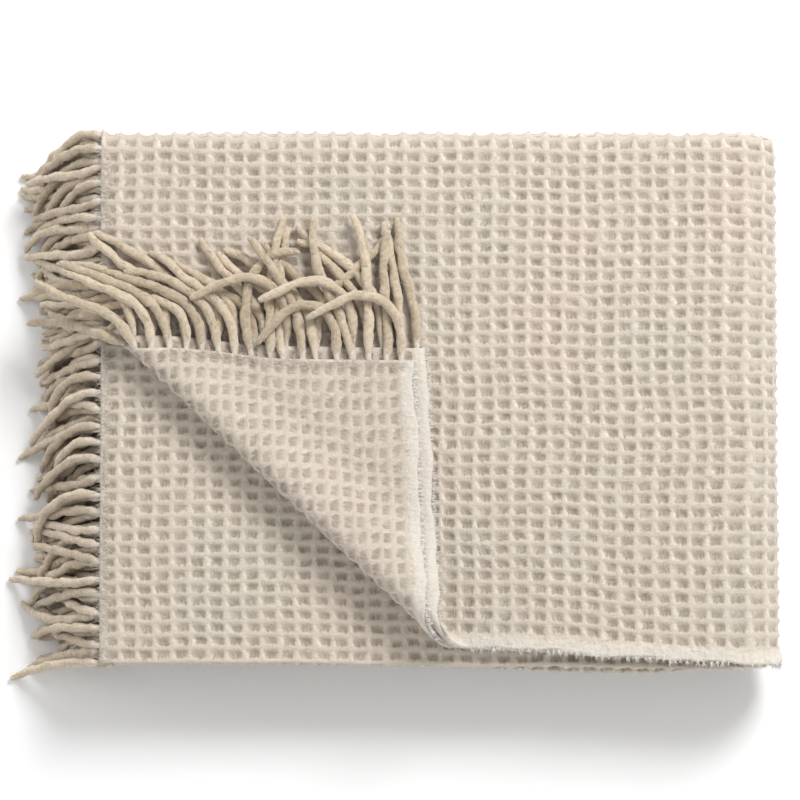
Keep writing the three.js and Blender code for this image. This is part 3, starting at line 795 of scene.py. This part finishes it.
# %% What a strand lies on
EDGE_GAP = 0.5  # a strand that hangs stays this far outside its root
STEP_UP = 2  # how much deeper a point may be in the panel's top than in its side
GRIP = 0.35  # share of its way that a point which lies on something still slides


def on_ground(points, before, radius, turned, root_x, free):
    """Keeps the strands out of the panel and over the floor, where they hardly slide."""
    x, y, z = np.moveaxis(points, 2, 0)
    loose, turned = free[..., 0] > 0, turned[:, None]
    top = UPPER_LAYER + HALF + unevenness(x, y, UPPER_LAYER + HALF) + radius
    side, low = LEFT_EDGE - radius, FLOOR + radius
    inside = turned & (x > side) & (z < top) & loose
    up = inside & ((top - z) < (x - side) + STEP_UP)
    z = np.where(up, top, z)
    x = np.where(inside & ~up, side, x)
    x = np.where(~turned & loose, np.minimum(x, root_x - EDGE_GAP), x)
    slide = np.where((z <= low) | up, GRIP, 1.0)
    x = before[..., 0] + (x - before[..., 0]) * slide
    y = before[..., 1] + (y - before[..., 1]) * slide
    return np.where(free > 0, np.stack([x, y, np.maximum(z, low)], 2), points)


print("panel", round(UPPER_LAYER + HALF - FLOOR, 1), "mm over the floor")

# %% The strands come to rest
FALL = 0.06
DAMPING = 0.90
STEPS = 260
PAIRS_EVERY, PAIR_MARGIN = 4, 1.5


def let_down(points, length, turned, fatness):
    """Where the strands come to rest. Their first two points stay in the cloth."""
    count, nodes, _ = points.shape
    step = (length / (nodes - 1))[:, None, None]
    radius = radius_along(np.linspace(0, 1, nodes)) * fatness[:, None]
    strand = np.repeat(np.arange(count), nodes)
    free = np.ones((count, nodes, 1))
    free[:, :2] = 0
    before, root_x = points, points[:, 1:2, 0]
    goals = [bend_of(points, gap) for gap, _ in BENDS]
    for turn in range(STEPS):
        if turn % PAIRS_EVERY == 0:
            pairs = close_pairs(points.reshape(-1, 3), 2 * STRAND_RADIUS + PAIR_MARGIN)
            pairs = pairs[strand[pairs[:, 0]] != strand[pairs[:, 1]]]
        moved = (points - before) * DAMPING
        before = points.copy()
        points = points + moved * free
        points[:, :, 2] -= FALL * free[:, :, 0]
        keep_bend(points, goals, free)
        points = keep_clear(points, pairs, radius.ravel(), free)
        keep_length(points, step, free)
        points = on_ground(points, before, radius, turned, root_x, free)
    return points


turned = np.isin(strand_row, TURNED_ROWS)
strand_rest = let_down(strand_points, strand_length, turned, strand_fat)
print("fringe from", strand_rest.min(axis=(0, 1)).round(1))
print("fringe to", strand_rest.max(axis=(0, 1)).round(1))

# %% [markdown]
# ## The strands' skin
#
# A curve with a bevel would do, but a tube in mesh code lets each strand be slightly flat, swell
# and thin along its way and end in a soft rounded tip.

# %% Tubes along the strands
SIDES = 8
FLATNESS = 0.9
ROOT_TAPER, TAPER_TO = 0.6, 0.12  # the first ring is thin, so that the cloth hides it
CRIMP = 0.32
SWELLS = [(0.07, 19, 1.7), (0.05, 41, 2.9)]  # share, waves in radians, shift for each strand
PLY = 0.05  # what is left of the twist of two yarns
ROUGH_SKIN = 0.055
TEXTURE_LENGTH = 10  # of the map from a strand's root to its tip
yarn_luck = np.random.default_rng(11)


def smooth_line(points):
    """A curve through the points, with one more between each two."""
    before, after = points[:-3], points[3:]
    middle = (9 * (points[1:-2] + points[2:-1]) - before - after) / 16
    line = np.empty((2 * len(points) - 1, 3))
    line[0::2] = points
    line[3:-2:2] = middle
    line[1] = (points[0] + points[1]) / 2
    line[-2] = (points[-2] + points[-1]) / 2
    return line


def unit(vectors):
    return vectors / np.linalg.norm(vectors, axis=-1, keepdims=True)


def strand_sizes(share, own):
    """The radius at each ring of a strand, with soft swells, a thin root and a blunt tip."""
    swell = sum((much * np.sin(share * waves + own * shift) for much, waves, shift in SWELLS), 1)
    rooted = ROOT_TAPER + (1 - ROOT_TAPER) * smooth(share, 0.0, TAPER_TO)
    size = radius_along(share) * strand_fat[own] * swell * rooted
    blunt = 0.45 + 0.3 * ((own * 0.382) % 1.0)
    size[-2:] *= (0.5 + 0.5 * blunt, blunt)
    return size


def tube(line, own):
    """Points and faces of one strand. own is its number, which makes it differ from others."""
    count = len(line)
    share = np.linspace(0, 1, count)
    crimp = CRIMP * smooth(share, 0.05, 0.3)
    line = line + np.stack([crimp * np.sin(share * 31 + own * 2.3),
                            crimp * np.sin(share * 27 + own * 1.1), 0 * share], 1)
    way = unit(np.gradient(line, axis=0))
    side = np.cross(way, [0.0, 0.0, 1.0])
    side[np.linalg.norm(side, axis=1) < 0.2] += np.array([0.0, 1.0, 0.0])
    side = unit(side - way * np.sum(side * way, axis=1, keepdims=True))
    over = np.cross(side, way)
    angle = np.linspace(0, 2 * math.pi, SIDES, endpoint=False)
    twist = share * (11 + 2 * math.sin(own)) + own
    ply = 1 + PLY * np.cos(2 * (angle[None, :] - twist[:, None]))
    ring = strand_sizes(share, own)[:, None, None] * ply[:, :, None]
    middle = line[:, None, :]
    points = (middle + ring * (np.cos(angle)[None, :, None] * side[:, None, :]
                               + FLATNESS * np.sin(angle)[None, :, None] * over[:, None, :]))
    points = middle + (points - middle) * yarn_luck.normal(1, ROUGH_SKIN, (count, SIDES, 1))
    points[..., 2] = np.maximum(points[..., 2], FLOOR)
    faces = []
    for r, k in np.ndindex(count - 1, SIDES):
        a, b = r * SIDES + k, r * SIDES + (k + 1) % SIDES
        faces.append((a, a + SIDES, b + SIDES, b))
    tip = (count - 1) * SIDES
    faces += [tuple(range(SIDES)), tuple(tip + k for k in reversed(range(SIDES)))]
    length_way = np.repeat(share * TEXTURE_LENGTH, SIDES)
    return points.reshape(-1, 3), faces, length_way, np.tile(angle / (2 * math.pi), count)


def fringe_object(number):
    """All strands of a row in one mesh, with a tone for each strand."""
    numbers = np.flatnonzero(strand_row == number)
    parts = [tube(smooth_line(strand_rest[own]), own) for own in numbers]
    size = len(parts[0][0])
    faces = [tuple(i + at * size for i in face) for at, part in enumerate(parts) for face in part[1]]
    points, length_way, round_way = (np.concatenate([part[k] for part in parts]) for k in (0, 2, 3))
    thing = mesh_object(ROWS[number][0], points, faces)
    write_uv(thing, "yarn", length_way, round_way)
    tone = thing.data.attributes.new("tone", "FLOAT", "POINT")
    tones = np.repeat((numbers * 0.618) % 1.0, size)
    tone.data.foreach_set("value", tones.astype(np.float32))
    return thing


fringes = [fringe_object(number) for number in range(len(ROWS))]
for piece in fringes:
    print(piece.name, len(piece.data.polygons), "faces")

# %% [markdown]
# ## Loose wool
#
# Brushed wool has a halo of loose fibres, and along both selvedges the weft turns back in short
# tufts. Blender's hair would do both, but it isn't kept in the part, so each fibre is a thin spike
# of three sides in mesh code. It starts on the cloth and lies over it by the cloth's own map.

# %% One fibre, many times
luck = np.random.default_rng(23)


def fibres_at(s, w, heading, length, low, lift, drop=0.0):
    """Three points of each fibre: its root in the cloth, its middle and its tip."""
    bend = heading + luck.normal(0, 0.5, len(s))
    middle_s, middle_w = s + 0.5 * length * np.cos(heading), w + 0.5 * length * np.sin(heading)
    tip_s, tip_w = middle_s + 0.5 * length * np.cos(bend), middle_w + 0.5 * length * np.sin(bend)
    root = cloth_point(s, w, low)
    middle = cloth_point(middle_s, middle_w, HALF + lift - 0.3 * drop)
    tip = cloth_point(tip_s, tip_w, HALF + lift * luck.uniform(-0.6, 1.5, len(s)) - drop)
    return np.stack([np.stack(point, 1) for point in (root, middle, tip)], 1)


def spikes(name, spines, width):
    """A closed spike of ten triangles along each spine, none of it under the floor."""
    spines[..., 2] = np.maximum(spines[..., 2], FLOOR + width)
    count = len(spines)
    way = unit(spines[:, 2] - spines[:, 0])
    side = unit(np.cross(way, luck.normal(0, 1, (count, 3))))
    over = np.cross(side, way)
    points = []
    for ring, size in ((0, 1.0), (1, 0.8)):
        for k in range(3):
            angle = 2 * math.pi * k / 3
            arm = width * size * (math.cos(angle) * side + math.sin(angle) * over)
            points.append(spines[:, ring] + arm)
    points.append(spines[:, 2])
    points = np.stack(points, 1).reshape(-1, 3)
    one = [(0, 1, 2)]
    for k in range(3):
        after = (k + 1) % 3
        one += [(k, k + 3, after + 3), (k, after + 3, after), (k + 3, 6, after + 3)]
    faces = (np.arange(count)[:, None, None] * 7 + np.array(one)[None]).reshape(-1, 3)
    thing = mesh_object(name, points, faces.tolist())
    print(name, len(faces), "triangles")
    return thing


# %% Tufts along the selvedges
TUFT_WIDTH = 0.25
# from, to, edge, way out, distance between tufts, fibres in each, length, how far they hang
TUFTS = [
    (232, THICK_END, 0, -1, 3.6, 18, (3.4, 6.2), 0.6),
    (0, 232, 0, -1, 1.1, 7, (2.4, 5.0), 0.8),
    (0, 245, CLOTH_WIDTH, 1, 1.1, 9, (2.6, 6.0), 1.6),
]


def tufts(low, high, edge, outward, pitch, fibres, reach, drop):
    """Tufts along a selvedge, from one distance to another along the cloth."""
    knots = np.arange(low, high, pitch)
    knots = knots + luck.uniform(-0.25, 0.25, len(knots)) * pitch
    size = luck.uniform(*reach, len(knots))
    s = np.repeat(knots, fibres)
    length = np.repeat(size, fibres) * luck.uniform(0.6, 1.1, len(s))
    heading = outward * math.pi / 2 + np.repeat(luck.normal(0, 0.25, len(knots)), fibres)
    heading = heading + luck.normal(0, 0.28, len(s))
    w = np.full(len(s), float(edge)) - outward * luck.uniform(0.3, 3.4, len(s))
    return fibres_at(s, w, heading, length, HALF - 0.5, luck.uniform(-1.0, 0.5, len(s)), drop)


tuft_spines = np.concatenate([tufts(*row) for row in TUFTS])
print(len(tuft_spines), "fibres in the tufts")

# %% Fuzz of the cloth
FUZZ, FUZZ_TRIES = 6000, 1.6
FUZZ_LENGTH = (3.0, 8.0)
FUZZ_WIDTH = 0.11
FUZZ_SHARES = (0.76, 0.12, 0.12)  # of the panel, the third layer and the flap
ROLL_HAIRS, FLAP_END_HAIRS, UPPER_END_HAIRS, THIRD_END_HAIRS = 450, 300, 480, 760


def fuzz_places():
    """Places on the cloth that show, mostly on the floats."""
    back, three, two = BACK_TURN, ACROSS[4], ACROSS[6]
    s_all, w_all = [], []
    reaches = ((0, back["to"]), (three["from"], three["from"] + THIRD_SHOWN),
               (two["from"] + SECOND_SHOWN, CLOTH_WIDTH))
    for (low, high), share in zip(reaches, FUZZ_SHARES):
        count = int(FUZZ * share * FUZZ_TRIES)
        w = luck.uniform(low, high, count)
        s = luck.uniform(2, THICK_END, count)
        line = roll_line(place_on(ACROSS, w, np.zeros(count))[0])
        shows = s > line + 3 if low == 0 else s < line + PAST_SECOND
        shows = shows & (relief(s, w) < 1.0)
        s_all.append(s[shows])
        w_all.append(w[shows])
    return np.concatenate(s_all), np.concatenate(w_all)


def wool_fuzz():
    """Fibres that lie on the cloth, every way."""
    s, w = fuzz_places()
    heading = luck.uniform(0, 2 * math.pi, len(s))
    length = luck.uniform(*FUZZ_LENGTH, len(s))
    low = HALF - relief(s, w) - 0.3
    return fibres_at(s, w, heading, length, low, luck.uniform(0.05, 0.75, len(s)))


def end_hairs():
    """Hairs over the fringed end: of the turned corner, and along the left edge that shows."""
    front = ACROSS[4]["from"]
    w = np.concatenate([luck.uniform(CLOTH_WIDTH - 150, CLOTH_WIDTH, FLAP_END_HAIRS),
                        luck.uniform(ROLL_TOP, ACROSS[0]["to"], UPPER_END_HAIRS),
                        luck.uniform(front, front + THIRD_SHOWN, THIRD_END_HAIRS)])
    s = luck.uniform(0.5, 6, len(w))
    on_flap = np.arange(len(w)) < FLAP_END_HAIRS
    across = luck.random(len(w)) < np.where(on_flap, 0.45, 0.15)
    heading = np.where(across, np.sign(luck.normal(0, 1, len(w))) * math.pi / 2, math.pi)
    heading = heading + luck.normal(0, 0.45, len(w))
    length = luck.uniform(3, 9, len(w))
    return fibres_at(s, w, heading, length, HALF - 0.4, luck.uniform(0.1, 0.8, len(w)))


def roll_hairs():
    """Hairs that stand off the roll of the turned corner."""
    w = luck.uniform(CLOTH_WIDTH - ROLL_TOP, CLOTH_WIDTH, ROLL_HAIRS)
    s = roll_line(place_on(ACROSS, w, np.zeros(len(w)))[0]) - luck.uniform(4, 45, len(w))
    w, s = w[s > 1], s[s > 1]
    heading = luck.uniform(0, 2 * math.pi, len(w))
    length = luck.uniform(2, 5, len(w))
    return fibres_at(s, w, heading, length, HALF - 0.3, luck.uniform(0.2, 0.9, len(w)))


fuzz_spines = np.concatenate([wool_fuzz(), end_hairs(), roll_hairs()])
fuzz_piece = spikes("wool_fuzz", fuzz_spines, FUZZ_WIDTH)
tuft_piece = spikes("selvedge_tufts", tuft_spines, TUFT_WIDTH)

# %% Fuzz of the strands
YARN_FIBRES = 70
YARN_FUZZ_LENGTH = (2.0, 5.5)
YARN_FUZZ_WIDTH = 0.14


def strand_fuzz():
    """Short fibres that lie along the strands and lift off them a little."""
    own = np.repeat(np.arange(len(strand_row)), YARN_FIBRES)
    at = luck.uniform(0.3, STRAND_NODES - 1.6, len(own))
    node = at.astype(int)
    first, second = strand_rest[own, node], strand_rest[own, node + 1]
    way = unit(second - first)
    out = unit(np.cross(way, luck.normal(0, 1, (len(own), 3))))
    out[:, 2] = np.abs(out[:, 2])
    skin = (radius_along(at / (STRAND_NODES - 1)) * strand_fat[own])[:, None]
    length = luck.uniform(*YARN_FUZZ_LENGTH, len(own))[:, None]
    across = np.cross(way, out) * luck.normal(0, 0.5, (len(own), 1))
    root = first + (second - first) * (at - node)[:, None] + out * skin * 0.85
    off = luck.uniform(0.0, 0.5, (len(own), 1))
    middle = root + (way * 0.5 + across * 0.4) * length + out * off
    off = luck.normal(0.1, 0.5, (len(own), 1))
    tip = middle + (way * 0.35 + across * 0.6) * length + out * off
    spines = np.stack([root, middle, tip], 1)
    spines[..., 2] = np.maximum(spines[..., 2], FLOOR + 0.3)
    return spines


yarn_fuzz_piece = spikes("fringe_fuzz", strand_fuzz(), YARN_FUZZ_WIDTH)

# %% [markdown]
# ## Shader maths in Python
#
# A procedural finish is a long sum of small nodes. The class below wraps a socket, so that an
# expression such as `1 - pit * 0.4` adds its own Math nodes. Everything else comes from `make`.

# %% A socket that does sums


class Socket:
    """One output of a node, which sums and products turn into new nodes."""

    def __init__(self, tree, link):
        self.tree = tree
        self.link = link

    def make(self, kind, settings=None, values=None, output=0):
        """Adds a node: its settings first, then values or links by socket name or number."""
        node = self.tree.nodes.new(kind)
        for key, value in (settings or {}).items():
            setattr(node, key, value)
        for key, value in (values or {}).items():
            if isinstance(value, Socket):
                self.tree.links.new(value.link, node.inputs[key])
            else:
                node.inputs[key].default_value = value
        return Socket(self.tree, node.outputs[output])

    def sum(self, operation, *terms):
        return self.make("ShaderNodeMath", {"operation": operation}, dict(enumerate(terms)))

    def __add__(self, other):
        return self.sum("ADD", self, other)

    __radd__ = __add__

    def __sub__(self, other):
        return self.sum("SUBTRACT", self, other)

    def __rsub__(self, other):
        return self.sum("SUBTRACT", other, self)

    def __mul__(self, other):
        return self.sum("MULTIPLY", self, other)

    def __abs__(self):
        return self.sum("ABSOLUTE", self)

    def fraction(self):
        return self.sum("FRACT", self)

    def sine(self):
        return self.sum("SINE", self)

    def least(self, other):
        return self.sum("MINIMUM", self, other)

    def most(self, other):
        return self.sum("MAXIMUM", self, other)

    def limited(self):
        """This number, kept between 0 and 1."""
        return self.least(1.0).most(0.0)

    def step_up(self, low, high):
        """0 under low, 1 over high and a soft rise between."""
        settings = {"interpolation_type": "SMOOTHSTEP"}
        return self.make("ShaderNodeMapRange", settings, {0: self, 1: low, 2: high, 3: 0.0, 4: 1.0})

    def noise(self, scale, detail=3.0, rough=0.55, by=None):
        """Noise at this place, stretched if by is given, as a number from 0 to 1."""
        where = self
        if by:
            settings = {"operation": "MULTIPLY"}
            where = self.make("ShaderNodeVectorMath", settings, {0: self, 1: by})
        values = {"Vector": where, "Scale": scale, "Detail": detail, "Roughness": rough}
        return self.make("ShaderNodeTexNoise", None, values, "Fac")

    def parts(self):
        """The first two numbers of a vector."""
        first = self.make("ShaderNodeSeparateXYZ", None, {0: self})
        return first, Socket(self.tree, first.link.node.outputs["Y"])

    def colours(self, first, second):
        """A colour from first to second, as this number goes from 0 to 1."""
        paints = [c if isinstance(c, Socket) else (*c, 1.0) for c in (first, second)]
        values = {0: self, 6: paints[0], 7: paints[1]}
        return self.make("ShaderNodeMix", {"data_type": "RGBA"}, values, 2)

    def times(self, other):
        """The product of two colours."""
        settings = {"data_type": "RGBA", "blend_type": "MULTIPLY"}
        return self.make("ShaderNodeMix", settings, {0: 1.0, 6: self, 7: other}, 2)


def srgb(red, green, blue):
    """A colour as a paint program shows it, in the light values that Blender mixes."""
    parts = [value / 255 for value in (red, green, blue)]
    return tuple(c / 12.92 if c <= 0.04045 else ((c + 0.055) / 1.055) ** 2.4 for c in parts)


print("middle grey is", round(srgb(128, 128, 128)[0], 3), "in light values")

# %% Wool in general
WOOL_GLOSS = {"Roughness": 0.95, "Sheen Roughness": 0.6, "Specular IOR Level": 0.15}


def new_finish(name):
    """A material, its shader and a socket to start sums from."""
    material = bpy.data.materials.new(name)
    material.use_nodes = True
    shader = material.node_tree.nodes["Principled BSDF"]
    return material, shader, Socket(material.node_tree, None)


def dress(pieces, material, shader, base, gloss, height=None, strength=0.0):
    """Joins colour and relief to the shader and gives the material to its pieces."""
    tree = material.node_tree
    tree.links.new(base.link, shader.inputs["Base Color"])
    if height:
        values = {"Strength": strength, "Distance": 0.0010, "Height": height}
        bump = base.make("ShaderNodeBump", None, values)
        tree.links.new(bump.link, shader.inputs["Normal"])
    for name, value in gloss.items():
        shader.inputs[name].default_value = value
    for piece in pieces:
        piece.data.materials.append(material)
    print(material.name, "has", len(tree.nodes), "nodes")


# %% [markdown]
# ## The wool of the cloth
#
# The weft is a soft cream yarn that floats up and down in the picture, the warp a beige one that
# floats from left to right. Both make the ridges, and at the bottom of each pit the beige ground
# shows through the fuzz. Each pit is also painted darker on its lower right side, a painted shade,
# and the weft float at its left carries a painted highlight. The colours follow the weave's own
# coordinates, so that every layer and fold has them at the right scale.

# %% Where a point is in the weave
# PIT is the beige ground of a pit, deepened by painted shade; FLOAT is the weft's cream with a
# painted highlight.
RIDGE, FLOAT = srgb(216, 205, 192), srgb(240, 232, 222)
PIT, BAND = srgb(160, 148, 132), srgb(230, 223, 213)
wool, shader, start = new_finish("waffle_wool")
weave = start.make("ShaderNodeUVMap", {"uv_map": "weave"})
solid = start.make("ShaderNodeTexCoord", output="Object")
u, v = weave.parts()
own, _ = start.make("ShaderNodeUVMap", {"uv_map": "chance"}).parts()
s_place, w_place = start.make("ShaderNodeUVMap", {"uv_map": "place"}).parts()
fuzz = solid.noise(900.0, 4.0, 0.65)
tuft = solid.noise(330.0, 3.0, 0.6)
cloud = solid.noise(14.0, 2.0)
bent = weave.noise(2.6, 2.0, 0.6)
fine = weave.noise(1.0, 3.0, 0.6, by=(6.5, 1.2, 1.0))
cross = weave.noise(1.0, 3.0, 0.6, by=(1.6, 7.0, 1.0))
# the place in its own cell, from -0.5 to 0.5, with hairy borders
right = (u + (bent - 0.5) * 0.22 + (fuzz - 0.5) * 0.16).fraction() - 0.5
up = (v + (bent - 0.5) * 0.30 + (fine - 0.5) * 0.34 + (fuzz - 0.5) * 0.10).fraction() - 0.5
print("places and noises take", len(start.tree.nodes), "nodes")

# %% Pits, floats and selvedge bands
pit = (1 - right.step_up(0.32, 0.47)) * (right + 0.47).step_up(0.0, 0.34)
pit = pit * (1 - up.step_up(0.02, 0.42)) * (up + 0.43).step_up(0.0, 0.20)
# Painted shade: the lower right side of each pit is made darker in colour.
painted_pit_shade = (right - up + 0.55).least(1.0).most(0.15)  # the shaded side of a pit
# Painted highlight: a bright slanting stroke on the weft float at the left of each pit, in part the
# float's own cream.
float_highlight = 1 - abs(right + 0.37 + up * 0.3).step_up(0.02, 0.13)  # the bright float of the weft
float_highlight = float_highlight * (1 - abs(up).step_up(0.22, 0.46)) * (fine * 1.6 - 0.2).most(0.0)
edge = w_place.least(CLOTH_WIDTH - w_place)
band = 1 - (edge + (tuft - 0.5) * 5).step_up(SELVEDGE_WIDTH - 2.5, SELVEDGE_WIDTH + 1.5)
weaving = 1 - band
rib = (s_place * (2 * math.pi / 3.6) + (tuft - 0.5) * 9).sine() * 0.5 + 0.5
print("with pits, floats and bands", len(start.tree.nodes))

# %% Colour and fine relief of the cloth
# Pits take the beige ground colour and their painted shade here.
pit_ground_and_shade = pit * (0.22 + painted_pit_shade * 0.48 + own * 0.22) + pit * (fine - 0.5) * 1.9
under_side = w_place.step_up(CLOTH_WIDTH - 140, CLOTH_WIDTH - 130)
pit_ground_and_shade = pit_ground_and_shade * (1 - under_side * 0.15)
base = (pit_ground_and_shade * weaving).limited().colours(RIDGE, PIT)
# The painted highlight of the weft floats is mixed in here.
base = (float_highlight * weaving * (0.45 + own * 0.7)).least(1.0).colours(base, FLOAT)
base = band.colours(base, (rib * 0.2).colours(BAND, RIDGE))
tint = cloud.step_up(0.25, 0.75).colours(srgb(254, 251, 249), srgb(250, 251, 249))
thread = (cross - 0.5) * (1 - pit) * 0.35 + (fuzz - 0.5) * 0.30 + (tuft - 0.5) * 0.28 + 0.14
shaded = thread.limited().colours((1.0, 1.0, 1.0), srgb(150, 138, 122))
height = fine * 0.8 * pit + cross * 0.5 * (1 - pit) + fuzz * 1.2 + tuft * 0.9 - pit * 0.5
height = height + band * (1 - rib) * 0.15
dress([cloth], wool, shader, base.times(tint).times(shaded), {**WOOL_GLOSS, "Sheen Weight": 0.25},
      height, 0.6)

# %% [markdown]
# ## The felted yarn of the fringe
#
# The fringe is the beige warp alone, so it is a shade darker and greener than the cloth. Felting
# hides most of the twist, and what is left is a soft slanting line and a mottled, fibrous skin. At
# the root it has the colour of the cloth that it grows from.

# %% Fringe yarn
YARN_LIGHT, YARN_DARK = srgb(218, 201, 176), srgb(171, 153, 127)
YARN_ROOT = srgb(222, 212, 197)
yarn, shader, start = new_finish("fringe_yarn")
along_yarn = start.make("ShaderNodeUVMap", {"uv_map": "yarn"})
solid = start.make("ShaderNodeTexCoord", output="Object")
tone = start.make("ShaderNodeAttribute", {"attribute_name": "tone"}, None, "Fac")
length_way, round_way = along_yarn.parts()
fuzz = solid.noise(700.0, 4.0, 0.65)
mottle = solid.noise(160.0, 3.0)
streak = along_yarn.noise(1.0, 3.0, 0.6, by=(2.2, 9.0, 1.0))
turns = length_way * 1.9 + round_way * 2 + (fuzz - 0.5) * 0.35
twist = (turns * (2 * math.pi)).sine() * 0.5 + 0.5
shade = tone * 0.35 + mottle * 0.45 + fuzz * 0.55 + streak * 0.45 - twist * 0.06
cloth_like = (length_way + (fuzz - 0.5) * 0.8).step_up(1.3, 0.15)
base = cloth_like.colours(shade.step_up(0.45, 1.25).colours(YARN_LIGHT, YARN_DARK), YARN_ROOT)
height = twist * 0.25 + fuzz * 1.3 + mottle * 0.8 + streak * 0.8
dress(fringes, yarn, shader, base, {**WOOL_GLOSS, "Sheen Weight": 0.5}, height, 0.7)

# %% [markdown]
# ## Loose fibres
#
# The fibres on the cloth and in its tufts are the cream weft's, and those of the strands are beige.
# A little noise makes them slightly cloudy, and a sheen gives them the soft bright rim of wool.

# %% Fibre wool
HAIR_GLOSS = {"Roughness": 0.9, "Sheen Weight": 0.2, "Specular IOR Level": 0.2}
DARKER = 0.94
for piece, colour in ((fuzz_piece, (228, 219, 207)), (tuft_piece, (240, 235, 228)),
                      (yarn_fuzz_piece, (214, 200, 178))):
    hair, shader, start = new_finish(piece.name + "_wool")
    wisp = start.make("ShaderNodeTexCoord", output="Object").noise(420.0, 2.0).step_up(0.3, 0.7)
    base = wisp.colours(srgb(*colour), srgb(*(part * DARKER for part in colour)))
    dress([piece], hair, shader, base, HAIR_GLOSS)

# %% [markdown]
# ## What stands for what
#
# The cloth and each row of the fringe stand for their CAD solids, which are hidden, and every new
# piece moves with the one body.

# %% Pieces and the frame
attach(cloth, "root")
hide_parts("throw_cloth")
for (_, node, *_), piece in zip(ROWS, fringes):
    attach(piece, "root")
    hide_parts(node)
for piece, slot in ((fuzz_piece, "wool_cloth"), (tuft_piece, "wool_cloth"),
                    (yarn_fuzz_piece, "fringe_wool")):
    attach(piece, "root")
CLOTH_WIDTH * MM
CLOTH_LENGTH * MM
print("flat sheet", round(CLOTH_WIDTH * MM, 3), "by", round(CLOTH_LENGTH * MM, 3), "m")

# %% [markdown]
# ## Floor, light and camera
#
# The throw lies on a pale surface under a large soft light from behind, with two weak fills. The
# camera looks almost straight down and leans a little towards the front, so that a thin line of the
# lower layers shows.

# %% Floor
FLOOR_SIZE = 6
bpy.ops.object.select_all(action="DESELECT")
bpy.ops.mesh.primitive_plane_add(size=FLOOR_SIZE, location=(0, 0, 0))
floor = bpy.context.object
floor.name = "floor"
paper, shader, _ = new_finish("pale_floor")
shader.inputs["Base Color"].default_value = (0.93, 0.93, 0.93, 1)
shader.inputs["Roughness"].default_value = 0.9
floor.data.materials.append(paper)
print("floor", FLOOR_SIZE, "m wide")

# %% Light
WORLD_LIGHT = 0.53
# name, place, size in metres, power in watts; each is aimed at the origin
LAMPS = [
    ("soft_box", (0.8, 1.3, 1.4), 0.75, 40),
    ("left_fill", (-1.6, 0.4, 0.5), 1.0, 9),
    ("front_fill", (1.0, -1.5, 0.5), 1.2, 9),
]
for name, place, size, power in LAMPS:
    lamp = bpy.data.lights.new(name, "AREA")
    lamp.size = size
    lamp.energy = power
    thing = bpy.data.objects.new(name, lamp)
    bpy.context.collection.objects.link(thing)
    thing.location = place
    thing.rotation_euler = (-Vector(place)).to_track_quat("-Z", "Y").to_euler()
world = bpy.data.worlds.new("studio")
bpy.context.scene.world = world
world.use_nodes = True
world.node_tree.nodes["Background"].inputs["Color"].default_value = (1, 1, 1, 1)
world.node_tree.nodes["Background"].inputs["Strength"].default_value = WORLD_LIGHT
bpy.context.scene.view_settings.view_transform = "Standard"
print(len(LAMPS), "lamps")

# %% Camera
VIEW_WIDTH = 0.479
SENSOR_WIDTH = 36
CAMERA_DISTANCE = 2.0
CAMERA_TILT = math.radians(4.0)
CAMERA_AIM = np.array([0.0027, -0.0004, 0.062])
lens = bpy.data.cameras.new("camera")
lens.sensor_width = SENSOR_WIDTH
lens.lens = SENSOR_WIDTH * CAMERA_DISTANCE / VIEW_WIDTH
camera = bpy.data.objects.new("camera", lens)
bpy.context.collection.objects.link(camera)
back = np.array([0, -math.sin(CAMERA_TILT), math.cos(CAMERA_TILT)])
camera.location = CAMERA_AIM + CAMERA_DISTANCE * back
camera.rotation_euler = (CAMERA_TILT, 0, 0)
bpy.context.scene.camera = camera
print("lens", round(lens.lens), "mm")
